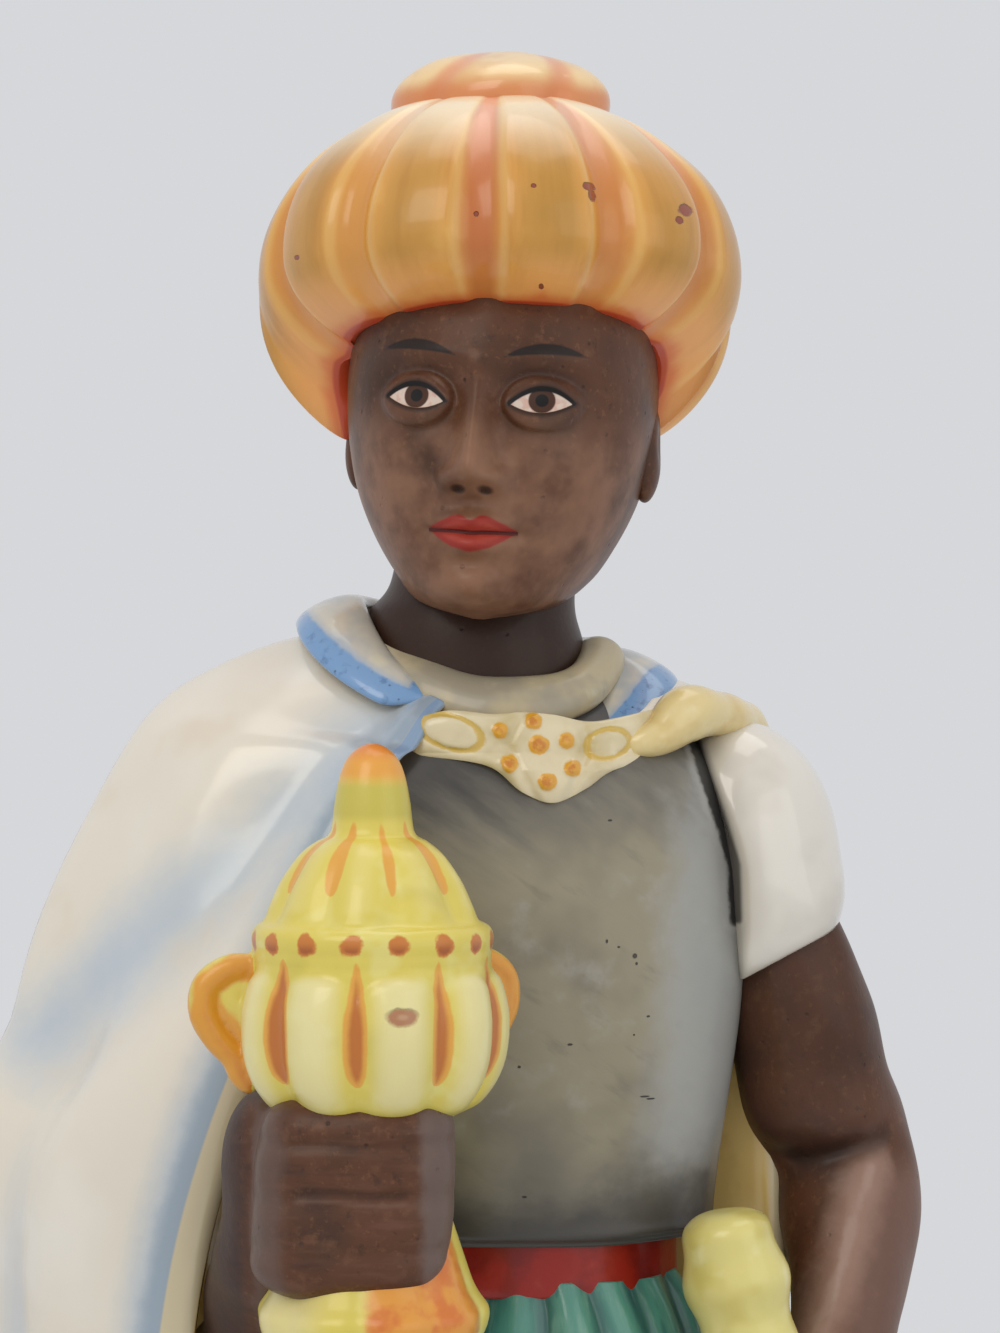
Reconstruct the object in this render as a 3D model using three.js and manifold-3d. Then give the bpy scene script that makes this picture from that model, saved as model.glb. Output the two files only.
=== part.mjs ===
// A nativity king of glazed earthenware: a standing figure in a ribbed turban, cloak, cuirass and pleated
// robe, who lifts a covered cup in the right hand and rests the left on a sword. Cast in one piece with
// its low base. The wearer faces -Y with +X to the wearer's left, +Z is up, and the origin is the middle
// of the base's underside.
import * as THREE from "three";
import { mergeVertices } from "three/addons/utils/BufferGeometryUtils.js";
import Module from "manifold-3d";

const wasm = await Module();
wasm.setup();

// Driving sizes, in millimetres
const FIGURE_HEIGHT = 308; // from the top of the base to the top of the turban
const BASE_HEIGHT = 12;
const BASE_MARGIN = 6; // how far the base reaches past the cloak's hem, at its widest and deepest
const BASE_EDGE = 3; // radius of the rounded rim of the base
const FOOTING = 2; // how deep hems and shoes stand in the base
const CLOAK_EDGE = 4.2; // thickness of the cloak along its free edges

// The figure is a free form. Its pose and carving are counted in parts, of which the figure's height has
// 308, from the top of the base up. Tables below give places and half sizes in parts, and angles in
// degrees.
const PART = FIGURE_HEIGHT / 308;

const { clamp, degToRad: radians, lerp: mix } = THREE.MathUtils;

// A place of the figure, from parts to millimetres.
const spot = (x, y, z) => new THREE.Vector3(x * PART, y * PART, BASE_HEIGHT + z * PART);

// Rises smoothly from 0 at the first limit to 1 at the second.
const rise = (from, to, value) => THREE.MathUtils.smoothstep(value, from, to);

// A soft bump of height 1, all but gone at twice its width.
const bump = (distance, width) => Math.exp(-((distance / width) ** 2));

// A power that keeps the sign: below 1 it makes an oval squarer, above 1 leaner.
const signedPower = (value, power) => Math.sign(value) * Math.abs(value) ** power;

// Rounded ribs round a turned form: 0 on the crown of a rib and 1 in the crease between two.
const crease = (bearing, ribs, first) => 1 - Math.sqrt(Math.sin((ribs * (bearing - first)) / 2) ** 2 + 0.02);

// One column of a table, read at a share of the way down its rows, on a smooth curve through them.
function read(rows, column, share) {
  const last = rows.length - 1;
  const place = clamp(share, 0, 1) * last;
  const row = Math.min(Math.floor(place), last - 1);
  const f = place - row;
  const [a, b, c, d] = [-1, 0, 1, 2].map((step) => rows[clamp(row + step, 0, last)][column]);
  return b + 0.5 * f * (c - a + f * (2 * a - 5 * b + 4 * c - d + f * (3 * (b - c) + d - a)));
}

// A closed solid from a unit geometry: place gets each corner and returns where it goes.
function solid(unit, place) {
  unit.deleteAttribute("normal");
  unit.deleteAttribute("uv");
  const welded = mergeVertices(unit, 1e-6);
  const corners = welded.getAttribute("position");
  for (let i = 0; i < corners.count; i++) {
    const moved = place(new THREE.Vector3().fromBufferAttribute(corners, i));
    corners.setXYZ(i, moved.x, moved.y, moved.z);
  }
  const triVerts = new Uint32Array(welded.index.array);
  const mesh = { numProp: 3, vertProperties: corners.array, triVerts };
  const made = new wasm.Manifold(new wasm.Mesh(mesh));
  if (made.volume() > 0) return made;
  triVerts.reverse();
  return new wasm.Manifold(new wasm.Mesh(mesh));
}

const fuse = (solids) => solids.reduce((whole, next) => whole.add(next));

// A stack of rings with flat ends. rim gives a point of the ring at a share of the way down and a bearing,
// which is 0 at the wearer's front and a quarter turn at the wearer's right.
function stack(around, down, middle, rim) {
  return solid(new THREE.CylinderGeometry(1, 1, 1, around, down), (p) => {
    const share = 0.5 - p.y;
    const reach = Math.min(Math.hypot(p.x, p.z), 1);
    return middle(share).lerp(rim(share, Math.atan2(p.x, p.z)), reach);
  });
}

// A stack of ovals whose rows each hold a height z, a middle x and y, a half width and a half depth.
function ovals(rows, around, down, { turn = 0, carve = () => 0, square = 1 } = {}) {
  const upright = new THREE.Vector3(0, 0, 1);
  const at = (column, share) => read(rows, column, share);
  const middle = (share) => spot(at("x", share), at("y", share), at("z", share));
  return stack(around, down, middle, (share, bearing) => {
    const out = carve(bearing, share);
    const side = -(at("wide", share) + out) * signedPower(Math.sin(bearing), square);
    const ahead = -(at("deep", share) + out) * signedPower(Math.cos(bearing), square);
    const offset = new THREE.Vector3(side, ahead, 0).multiplyScalar(PART);
    return offset.applyAxisAngle(upright, turn).add(middle(share));
  });
}

// A limb along a smooth path through joints, each [x, y, z, radius], with rounded ends.
function limb(joints, around, along, blunt = 6) {
  const path = new THREE.CatmullRomCurve3(joints.map(([x, y, z]) => spot(x, y, z)), false, "centripetal");
  const radii = joints.map(([, , , radius]) => ({ radius }));
  return solid(new THREE.SphereGeometry(1, around, along), (p) => {
    const share = (1 - clamp(p.y, -1, 1)) / 2;
    const ahead = path.getTangent(share);
    const side = new THREE.Vector3(0.3, 1, 0.1).cross(ahead).normalize();
    const up = ahead.clone().cross(side);
    const full = Math.sqrt(Math.max(0, 1 - Math.abs(2 * share - 1) ** blunt));
    const radius = read(radii, "radius", share) * PART * full;
    const bearing = Math.atan2(p.x, p.z);
    const point = path.getPoint(share).addScaledVector(side, radius * Math.cos(bearing));
    return point.addScaledVector(up, radius * Math.sin(bearing));
  });
}

// The cloak hangs from the shoulders and over the right arm to the base. Each row gives its height on the
// wearer's right, how much lower it runs at the left and at the front, its reach each way, and where its
// free edges are.
const CLOAK = [
  { z: 238.5, dip: 6, fall: 6.8, right: 16, left: 19, front: 16.5, back: 13, from: 30, to: 302 },
  { z: 237.5, dip: 5.8, fall: 7.6, right: 25, left: 23, front: 18.5, back: 17, from: 25, to: 286 },
  { z: 234.5, dip: 6, fall: 7.5, right: 34, left: 29, front: 20.5, back: 20, from: 22.5, to: 268 },
  { z: 229, dip: 3, fall: 5, right: 41.5, left: 31.5, front: 23, back: 21.5, from: 22.5, to: 262 },
  { z: 218, dip: 0, fall: 2.5, right: 48, left: 33, front: 25.5, back: 22.5, from: 26, to: 260 },
  { z: 201, dip: 0, fall: 0.5, right: 56, left: 34, front: 31, back: 23.5, from: 30, to: 259 },
  { z: 180, dip: 0, fall: 0, right: 63.5, left: 35, front: 34, back: 24.5, from: 34.8, to: 258 },
  { z: 158, dip: 0, fall: 0, right: 65, left: 36, front: 32, back: 26, from: 39.5, to: 258 },
  { z: 126, dip: 0, fall: 0, right: 62, left: 37, front: 29, back: 29, from: 44, to: 258 },
  { z: 84, dip: 0, fall: 0, right: 57.5, left: 38.5, front: 27, back: 33, from: 47, to: 258 },
  { z: 40, dip: 0, fall: 0, right: 53.5, left: 40, front: 26, back: 36, from: 49, to: 258 },
  { z: 0, dip: 0, fall: 0, right: 52, left: 41, front: 26, back: 38, from: 50, to: 258 },
];
const CLOAK_FOLDS = 10; // hanging folds in a full turn, of which the cloak has those at the right and behind
const FOLD_DEPTH = 3.2;
const CLOAK_FILL = 22; // how much thicker than its edges the cloak is behind, where it is one with the body
// A hollow in its front, from the chest to the elbow.
const PULL = { from: [-14, 226.5], to: [-55, 189.5], width: 8, depth: 4.5 };

// How far a point of the front view lies from a line between two others, each [x, z].
function offLine(x, z, [x0, z0], [x1, z1]) {
  const along = ((x - x0) * (x1 - x0) + (z - z0) * (z1 - z0)) / ((x1 - x0) ** 2 + (z1 - z0) ** 2);
  const nearest = clamp(along, 0, 1);
  return Math.hypot(x - mix(x0, x1, nearest), z - mix(z0, z1, nearest));
}

// How far the folds stand out at a place of the cloak: not at the neck, and not along the free edges.
function cloakFold(bearing, across, down) {
  const loose = rise(0.12, 0.8, down) * rise(0.02, 0.14, across) * (1 - rise(0.9, 1, across));
  return FOLD_DEPTH * loose * Math.cos(CLOAK_FOLDS * (bearing - Math.PI / 2) + 1.5 * down);
}

// A point of the cloak: across runs from 0 at its right front edge to 1 at its left edge, down from neck
// to hem.
function cloakPoint(across, down, inside) {
  const at = (column) => read(CLOAK, column, down);
  const bearing = radians(mix(at("from"), at("to"), across));
  const [s, c] = [Math.sin(bearing), Math.cos(bearing)];
  const lean = c > 0 && s > 0 ? 1.12 : 1;
  const x = -(s > 0 ? at("right") : at("left")) * signedPower(s, lean);
  const y = -(c > 0 ? at("front") : at("back")) * signedPower(c, lean);
  const z = at("z") - (at("dip") * (1 - s)) / 2 - at("fall") * rise(-0.2, 1, c);
  const pull = PULL.depth * rise(0, 0.07, across) * bump(offLine(x, z, PULL.from, PULL.to), PULL.width);
  const pulled = s > 0 ? pull * rise(-0.35, 0.05, c) : 0;
  const reach = Math.hypot(x, y);
  const edge = (CLOAK_EDGE / PART) * mix(0.45, 1, rise(0.36, 0.55, down));
  const thick = inside ? edge + CLOAK_FILL * Math.sin(Math.PI * across) ** 0.8 : 0;
  const share = (reach + cloakFold(bearing, across, down) - pulled - Math.min(thick, 0.8 * reach)) / reach;
  return spot(x * share, y * share, z - 0.6 * thick * (1 - rise(0, 0.4, down)));
}

function makeCloak() {
  return solid(new THREE.BoxGeometry(1, 1, 1, 25, 14, 1), (p) => {
    const place = cloakPoint(p.x + 0.5, 0.5 - p.y, p.z < 0);
    return place.setZ(Math.max(place.z, BASE_HEIGHT - FOOTING));
  });
}

// The cloak's broad collar: a sloping band round the neck, open over the clasp.
const COLLAR = { x: -1.9, y: 2.5, z: 236.6, wide: 18.6, deep: 16, half: 5.2, thick: 1.9, slope: 20 };
const COLLAR_RUN = { from: 20, to: 315, drop: 9.1, lean: 0.18, tip: 0.5, side: 0.85, hang: 3.5 };
const LAPEL = { out: 1.4, down: 1.8 }; // how far its right front corner reaches out over the cloak

function makeCollar() {
  const slope = radians(COLLAR.slope);
  const run = (share) => radians(mix(COLLAR_RUN.from, COLLAR_RUN.to, share));
  const middle = (share) => {
    const b = run(share);
    const x = COLLAR.x - COLLAR.wide * Math.sin(b);
    const drop = COLLAR_RUN.drop * Math.max(Math.cos(b), 0) ** 2 + COLLAR_RUN.hang * rise(0.82, 1, share);
    return new THREE.Vector3(x, COLLAR.y - COLLAR.deep * Math.cos(b), COLLAR.z - COLLAR_RUN.lean * x - drop);
  };
  return stack(8, 15, (share) => spot(...middle(share)), (share, bearing) => {
    const b = run(share);
    const end = Math.sqrt(Math.max(0.05, 1 - Math.abs(2 * share - 1) ** 8));
    const side = mix(COLLAR_RUN.tip, COLLAR_RUN.side, rise(0, 0.2, share));
    const flat = COLLAR.half * mix(side, 1, rise(0.3, 0.7, share)) * end * Math.cos(bearing);
    const full = COLLAR.thick * end * Math.sin(bearing);
    const lapel = rise(0, 0.05, share) * (1 - rise(0.08, 0.22, share)) * Math.max(Math.cos(bearing), 0) ** 2;
    const out = flat * Math.cos(slope) + full * Math.sin(slope) + LAPEL.out * lapel;
    const up = full * Math.cos(slope) - flat * Math.sin(slope) - LAPEL.down * lapel;
    const { x, y, z } = middle(share);
    return spot(x - out * Math.sin(b), y - out * Math.cos(b), z + up);
  });
}

// The base: a low slab, a little squarer than an oval, with a rounded upper rim.
const BASE_SQUARENESS = 0.82;

function makeBase() {
  const hem = CLOAK[CLOAK.length - 1];
  const wide = hem.right * PART + BASE_MARGIN;
  const deep = hem.back * PART + BASE_MARGIN;
  const edge = Math.min(BASE_EDGE, BASE_HEIGHT / 2);
  const corner = edge * (1 - Math.SQRT1_2);
  const rings = [
    { inset: edge, z: BASE_HEIGHT },
    { inset: corner, z: BASE_HEIGHT - corner },
    { inset: 0, z: BASE_HEIGHT - edge },
    { inset: 0, z: 0 },
  ];
  const ring = (share) => rings[Math.round(share * (rings.length - 1))];
  const middle = (share) => new THREE.Vector3(0, 0, ring(share).z);
  return stack(28, rings.length - 1, middle, (share, bearing) => {
    const { inset, z } = ring(share);
    const x = -(wide - inset) * signedPower(Math.sin(bearing), BASE_SQUARENESS);
    const y = -(deep - inset) * signedPower(Math.cos(bearing), BASE_SQUARENESS);
    return new THREE.Vector3(x, y, z);
  });
}

// The robe: gathered at the belt and falling in organ-pipe pleats to the instep, on a stem that stands in
// the base.
const ROBE = [
  { z: 162, x: 4.6, y: 0, wide: 16.6, deep: 13.8 },
  { z: 154, x: 4.5, y: 0, wide: 20.5, deep: 16.5 },
  { z: 134, x: 4, y: 0, wide: 26, deep: 20 },
  { z: 98, x: 2.8, y: 0, wide: 29.5, deep: 22.5 },
  { z: 52, x: 1.2, y: 0, wide: 32, deep: 25.5 },
  { z: 9, x: 0, y: 0, wide: 36, deep: 29 },
];
const PLEATS = 16;
const PLEAT_DEPTH = 2.6;

function makeRobe() {
  const carve = (bearing, share) => -PLEAT_DEPTH * mix(0.35, 1, share) * crease(bearing, PLEATS, 0);
  const bottom = -FOOTING / PART;
  const stem = { x: 0, y: 1, wide: 30, deep: 23 };
  return fuse([
    ovals(ROBE, PLEATS * 3, 5, { carve }),
    ovals([{ z: 20, ...stem }, { z: bottom, ...stem }], 16, 1),
  ]);
}

// The toes of two shoes under the hem.
const SHOES = [{ x: -11, y: -26, toe: -10 }, { x: 11.5, y: -26, toe: 10 }];
const SHOE = { wide: 6.6, long: 12.5, tall: 6.4, z: 3.4 };

function makeShoes() {
  return SHOES.map(({ x, y, toe }) => {
    const out = new THREE.Euler(0, 0, radians(toe));
    return solid(new THREE.SphereGeometry(1, 10, 6), (p) => {
      const local = new THREE.Vector3(p.x * SHOE.wide, -p.z * SHOE.long, p.y * SHOE.tall);
      const place = local.multiplyScalar(PART).applyEuler(out).add(spot(x, y, SHOE.z));
      return place.setZ(Math.max(place.z, BASE_HEIGHT - FOOTING));
    });
  });
}

// The cuirass on the body, turned a little to the wearer's left, with a flared lower rim over the belt.
const BODY_TURN = radians(16);
const BODY_SQUARENESS = 0.84;
const BODY = [
  { z: 233, x: -1.2, y: 1, wide: 9.5, deep: 8 },
  { z: 228, x: -0.3, y: 0.6, wide: 20, deep: 12.5 },
  { z: 222, x: 1.2, y: 0, wide: 25.4, deep: 16.3 },
  { z: 212, x: 2.6, y: 0, wide: 27, deep: 17.8 },
  { z: 200, x: 3.5, y: 0, wide: 26, deep: 17.8 },
  { z: 187, x: 4.5, y: 0, wide: 23.8, deep: 16.8 },
  { z: 174, x: 5, y: 0, wide: 21.2, deep: 15.6 },
  { z: 166.4, x: 5.2, y: 0, wide: 19.8, deep: 15.4 },
];
const BELT = [
  { z: 167.5, x: 4.6, y: 0, wide: 16.8, deep: 13.8 },
  { z: 160.2, x: 4.6, y: 0, wide: 17, deep: 14.2 },
];

function makeBody() {
  const turned = { turn: BODY_TURN };
  return fuse([
    ovals(BODY, 22, BODY.length - 1, { ...turned, square: BODY_SQUARENESS }),
    ovals(BELT, 22, BELT.length - 1, turned),
  ]);
}

// Where the front of the body stands at a point of the front view: the nearer side of the turned oval there.
function bodyFront(x, z) {
  const below = Math.max(BODY.findIndex((row) => row.z < z), 1);
  const [high, low] = [BODY[below - 1], BODY[below]];
  const share = (high.z - z) / (high.z - low.z);
  const [wide, deep, middle] = ["wide", "deep", "x"].map((column) => mix(high[column], low[column], share));
  const [s, c] = [Math.sin(BODY_TURN), Math.cos(BODY_TURN)];
  const a = (s / wide) ** 2 + (c / deep) ** 2;
  const b = (x - middle) * c * s * (1 / wide ** 2 - 1 / deep ** 2);
  const k = (x - middle) ** 2 * ((c / wide) ** 2 + (s / deep) ** 2) - 1;
  return (-b - Math.sqrt(Math.max(b * b - a * k, 0))) / a;
}

// The clasp across the chest: a strap with a boss of flowers in its middle. From its end the cloth of the
// cloak runs back over the left shoulder.
const CLASP = [
  { x: -10.4, z: 225.6, half: 2.2 },
  { x: -6, z: 226.1, half: 2.8 },
  { x: -1, z: 225.4, half: 3.1 },
  { x: 2.5, z: 224.1, half: 4.6 },
  { x: 6.2, z: 223.3, half: 5.1 },
  { x: 10, z: 223.7, half: 3.9 },
  { x: 13.3, z: 224.9, half: 3 },
  { x: 19.5, z: 226.4, half: 2.9 },
];
const CLASP_RELIEF = 2; // how far it stands out from the chest
const CLASP_ROOT = 5.5; // how far it reaches into the body
const CLASP_UPRIGHT = 224; // above this height the clasp stands upright, where the chest leans back
const SHOULDER_CLOTH = [
  [14.5, -10.5, 224.6, 2.2],
  [18.6, -9, 225.7, 2.4],
  [21.8, -6.5, 228.2, 3.3],
  [25, -2.5, 228.4, 2.9],
  [28, 2.5, 227.7, 2.6],
  [30.2, 8, 226, 2.8],
  [33, 16, 218, 3.2],
];

function makeClasp() {
  const strap = solid(new THREE.BoxGeometry(1, 1, 1, 14, 3, 1), (p) => {
    const [x, middle, half] = ["x", "z", "half"].map((column) => read(CLASP, column, p.x + 0.5));
    const z = middle + 2 * p.y * half;
    const chest = bodyFront(x, Math.min(z, CLASP_UPRIGHT));
    return spot(x, chest - (p.z < 0 ? -CLASP_ROOT : CLASP_RELIEF * (1 - (2 * p.y) ** 4 / 2)), z);
  });
  return fuse([strap, limb(SHOULDER_CLOTH, 8, 7)]);
}

// The rolled neckband of the shirt, and the neck.
const NECKBAND = { x: -1, y: 0.4, z: 236.2, wide: 13, deep: 12.6, slope: 0.5, lean: 0.1 };
const NECKBAND_ROLL = { out: 2.7, up: 2.6 };
const NECK = [
  { z: 254, x: -1, y: 2, wide: 10.6, deep: 10.6 },
  { z: 244.4, x: -2, y: 1.8, wide: 11.1, deep: 10.9 },
  { z: 240.5, x: -3.3, y: 1.8, wide: 12.4, deep: 11.4 },
  { z: 236, x: -3, y: 1.8, wide: 13.2, deep: 12.2 },
  { z: 228, x: -2.8, y: 2, wide: 13.8, deep: 12.6 },
];

function makeNeck() {
  const ring = 3;
  const band = solid(new THREE.TorusGeometry(ring, 1, 6, 18), (p) => {
    const bearing = Math.atan2(p.y, p.x);
    const out = NECKBAND_ROLL.out * (Math.hypot(p.x, p.y) - ring);
    const x = (NECKBAND.wide + out) * Math.cos(bearing);
    const y = (NECKBAND.deep + out) * Math.sin(bearing);
    const z = NECKBAND.z + NECKBAND_ROLL.up * p.z + NECKBAND.slope * Math.min(y, 0) - NECKBAND.lean * x;
    return spot(NECKBAND.x + x, NECKBAND.y + y, z);
  });
  return fuse([band, ovals(NECK, 14, 5)]);
}

// The puffed left sleeve: a ball that leans out, cut off below on a slant where the arm leaves it. Inside its
// seam, the armhole of the cuirass, its front is set back under the plate.
const SLEEVE = { x: 28.7, y: 3, z: 211, wide: 12.1, deep: 11.5, up: 16.6, down: 17, lean: -2 };
const SLEEVE_HEM = { drop: 0.84, slant: 0.4, flare: 0.12 };
const SEAM = { x: 28.1, lean: 5.1, low: 208, high: 228, depth: 5 };

function makeSleeve() {
  const lean = new THREE.Euler(0, radians(SLEEVE.lean), 0);
  return solid(new THREE.SphereGeometry(1, 14, 10), (p) => {
    const hem = SLEEVE_HEM.slant * p.x - SLEEVE_HEM.drop;
    const flare = 1 + SLEEVE_HEM.flare * bump(p.y - hem, 0.35);
    const z = Math.max(p.y, hem) * (p.y > 0 ? SLEEVE.up : SLEEVE.down);
    const local = new THREE.Vector3(p.x * SLEEVE.wide * flare, -p.z * SLEEVE.deep * flare, z);
    local.applyEuler(lean).add(new THREE.Vector3(SLEEVE.x, SLEEVE.y, SLEEVE.z));
    const seam = SEAM.x - SEAM.lean * rise(SEAM.low, SEAM.high, local.z);
    const under = (1 - rise(seam - 0.8, seam + 1.2, local.x)) * (1 - rise(-6, 4, local.y));
    return spot(local.x, local.y + SEAM.depth * under, local.z);
  });
}

// The left arm, bare from the sleeve down, bent to rest its hand on the sword.
const LEFT_ARM = [
  [30.5, 2, 211, 7.6],
  [34.2, 3, 200.5, 8],
  [36.6, 4.5, 191.5, 8.8],
  [38.3, 6.5, 183, 9.4],
  [41.6, 8, 174.5, 9],
  [42.3, 4.5, 166.5, 8.4],
  [41.4, -2, 157.5, 6.8],
  [38.5, -8, 148, 5.9],
  [35, -11, 142, 5.7],
];
// The right forearm comes forward out of the cloak to lift the cup.
const RIGHT_ARM = [
  [-39, 10, 142, 9.4],
  [-29, -12, 153, 7.3],
  [-26.2, -24, 163, 7.3],
  [-23.8, -31.5, 171, 7.7],
  [-22.8, -35, 179.5, 8.3],
  [-22, -37, 187.5, 8.2],
];
const FINGERS = 4;
const RIGHT_FIST = { x: -16.1, y: -41.6, z: 176.4, wide: 11, deep: 8.4, tall: 11.8, lean: 0.8 };
const LEFT_FIST = { x: 32, y: -14.5, z: 142.5, wide: 8, deep: 6.8, tall: 8.6, lean: -0.8 };

// A closed hand: four fingers laid one above another in a block, with a crease between each two.
function makeFist({ x, y, z, wide, deep, tall, lean }) {
  const rows = [];
  for (let i = 0; i <= 2 * FINGERS; i++) {
    const up = 1 - i / FINGERS;
    const end = Math.abs(up) === 1;
    const swell = end ? 0.76 : i % 2 ? 1 : 0.93;
    rows.push({ x: x + lean * up, y, z: z + tall * up, wide: wide * swell, deep: deep * swell });
  }
  return ovals(rows, 14, rows.length - 1, { square: 0.72 });
}

const makeLeftArm = () => fuse([limb(LEFT_ARM, 10, 10), makeFist(LEFT_FIST)]);
const makeRightArm = () => fuse([limb(RIGHT_ARM, 10, 6), makeFist(RIGHT_FIST)]);

// The covered cup in the right hand, turned, with ribs on lid, bowl and foot. Each row gives the depth of
// its ribs, and the ribs of the lid stand between those of the bowl.
const CUP = { x: -14.1, y: -38, ribs: 9, first: 5.5, lid: 203 };
const CUP_ROWS = [
  { z: 225.6, radius: 0, rib: 0 },
  { z: 224, radius: 2.7, rib: 0 },
  { z: 220.5, radius: 4.1, rib: 0 },
  { z: 215.6, radius: 4.7, rib: 0 },
  { z: 213.8, radius: 7.4, rib: 0.5 },
  { z: 210.4, radius: 10, rib: 1 },
  { z: 206.2, radius: 11.9, rib: 0.7 },
  { z: 204.4, radius: 13.3, rib: 0 },
  { z: 201.6, radius: 13.2, rib: 0 },
  { z: 199, radius: 14.4, rib: 1.2 },
  { z: 195, radius: 15.2, rib: 1.8 },
  { z: 190, radius: 14.6, rib: 1.8 },
  { z: 186, radius: 12.2, rib: 1.5 },
  { z: 181.5, radius: 7, rib: 0.3 },
  { z: 167, radius: 10.8, rib: 0.4 },
  { z: 162.5, radius: 13, rib: 0.7 },
  { z: 158.4, radius: 10, rib: 0 },
  { z: 158.2, radius: 0, rib: 0 },
];
// Its two ears, each a bow and the web inside it. The right one stands beside the bowl, the other behind it.
const EARS = [84, 232];
const EAR_BOW = [
  [11, 201.8, 1.5],
  [15.2, 202, 1.6],
  [17.9, 200, 1.6],
  [18.2, 196.8, 1.6],
  [16.9, 193.8, 1.5],
  [15.2, 191.6, 1.5],
  [14.5, 189.2, 1.4],
  [13, 187.2, 1.3],
];
const EAR_WEB = [
  [11, 199.5, 1.6],
  [16, 197.4, 1.9],
  [12.5, 191, 1.6],
];

function makeCup() {
  const first = radians(CUP.first);
  const profile = CUP_ROWS.map((row, i) => new THREE.Vector2(row.radius ? 1 : 0, i));
  const bowl = solid(new THREE.LatheGeometry(profile, CUP.ribs * 4), (p) => {
    const bearing = Math.atan2(p.x, p.z) + first;
    const { z, radius, rib } = CUP_ROWS[Math.round(p.y)];
    const ribs = crease(bearing, CUP.ribs, z > CUP.lid ? first + Math.PI / CUP.ribs : first);
    const reach = Math.min(Math.hypot(p.x, p.z), 1) * (radius - rib * ribs);
    return spot(CUP.x - reach * Math.sin(bearing), CUP.y - reach * Math.cos(bearing), z);
  });
  const ears = EARS.map((bearing) => {
    const [s, c] = [Math.sin(radians(bearing)), Math.cos(radians(bearing))];
    const place = ([out, z, radius]) => [CUP.x - out * s, CUP.y - out * c, z, radius];
    return fuse([limb(EAR_BOW.map(place), 6, 9, 8), limb(EAR_WEB.map(place), 6, 4)]);
  });
  return fuse([bowl, ...ears]);
}

// The sword: a ringed grip under a round pommel, and its scabbard along the left thigh.
const GRIP = { top: [25.8, -15, 170.8], foot: [31.4, -14, 144], radius: 6.2, taper: 1.2 };
const GRIP_RINGS = { depth: 0.25, many: 3.2 };
const GRIP_JOINTS = 13;
const SCABBARD = [
  [31, -14, 148, 4.2],
  [35, -9.5, 128, 4.4],
  [38.5, -3, 108, 4.2],
  [42, 5, 84, 3.6],
  [43.5, 9, 72, 2.8],
];

function makeSword() {
  const joints = [];
  for (let i = 0; i < GRIP_JOINTS; i++) {
    const share = i / (GRIP_JOINTS - 1);
    const place = GRIP.top.map((value, axis) => mix(value, GRIP.foot[axis], share));
    const ring = GRIP_RINGS.depth * Math.cos(2 * Math.PI * GRIP_RINGS.many * share);
    const radius = GRIP.radius - GRIP.taper * share + ring;
    joints.push([...place, radius]);
  }
  return fuse([limb(joints, 10, 13, 8), limb(SCABBARD, 8, 7)]);
}

// The head: rows from the crown to the chin of an oval with its own reach to the front and to the back.
// The face is built on it as soft pats of clay, each at x and z from the middle of the face, the ones off
// the middle in pairs.
const HEAD = { x: 0.3, y: -0.5, z: 264.2, yaw: -8, roll: 3, around: 26, down: 18 };
const HEAD_ROWS = [
  { z: 18.5, y: 1, wide: 0.5, front: 0.5, back: 0.5 },
  { z: 17.5, y: 0.5, wide: 14.8, front: 15.8, back: 17.5 },
  { z: 11, y: 0, wide: 17.6, front: 19.6, back: 21 },
  { z: 5, y: 0, wide: 18.4, front: 20.9, back: 22 },
  { z: 0, y: 0, wide: 18.4, front: 20.8, back: 21.6 },
  { z: -5, y: 0, wide: 17.8, front: 20.7, back: 20 },
  { z: -10, y: 0, wide: 16.6, front: 20.5, back: 17 },
  { z: -15, y: 0, wide: 14.4, front: 20.2, back: 13 },
  { z: -19.5, y: 0, wide: 11.5, front: 19.3, back: 8 },
  { z: -23, y: -5.5, wide: 7.6, front: 12, back: 6 },
  { z: -24.8, y: -11, wide: 0.5, front: 0.5, back: 0.5 },
];
const FACE = [
  { x: 0, z: 3, wide: 1.9, tall: 3.4, push: 1.3 },
  { x: 0, z: -2.5, wide: 2.1, tall: 4.2, push: 2.6 },
  { x: 0, z: -7.6, wide: 2.5, tall: 3, push: 4.6 },
  { x: 2.7, z: -9.2, wide: 1.6, tall: 1.5, push: 1.7 },
  { x: 7.4, z: 1, wide: 4, tall: 3, push: -2.2 },
  { x: 7.4, z: 0, wide: 3.1, tall: 1.9, push: 1.5 },
  { x: 7, z: 5.2, wide: 5.2, tall: 1.7, push: 0.7 },
  { x: 10, z: -6, wide: 4.4, tall: 4.6, push: 0.7 },
  { x: 0, z: -13.6, wide: 4.4, tall: 1.2, push: 1.5 },
  { x: 0, z: -16.3, wide: 3.7, tall: 1.3, push: 1.5 },
  { x: 0, z: -21, wide: 4.2, tall: 2.8, push: 1.5 },
];
const EAR_LOBE = { x: 17.4, y: 2, z: -3.7, wide: 1.9, deep: 3.4, tall: 6 };

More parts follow.
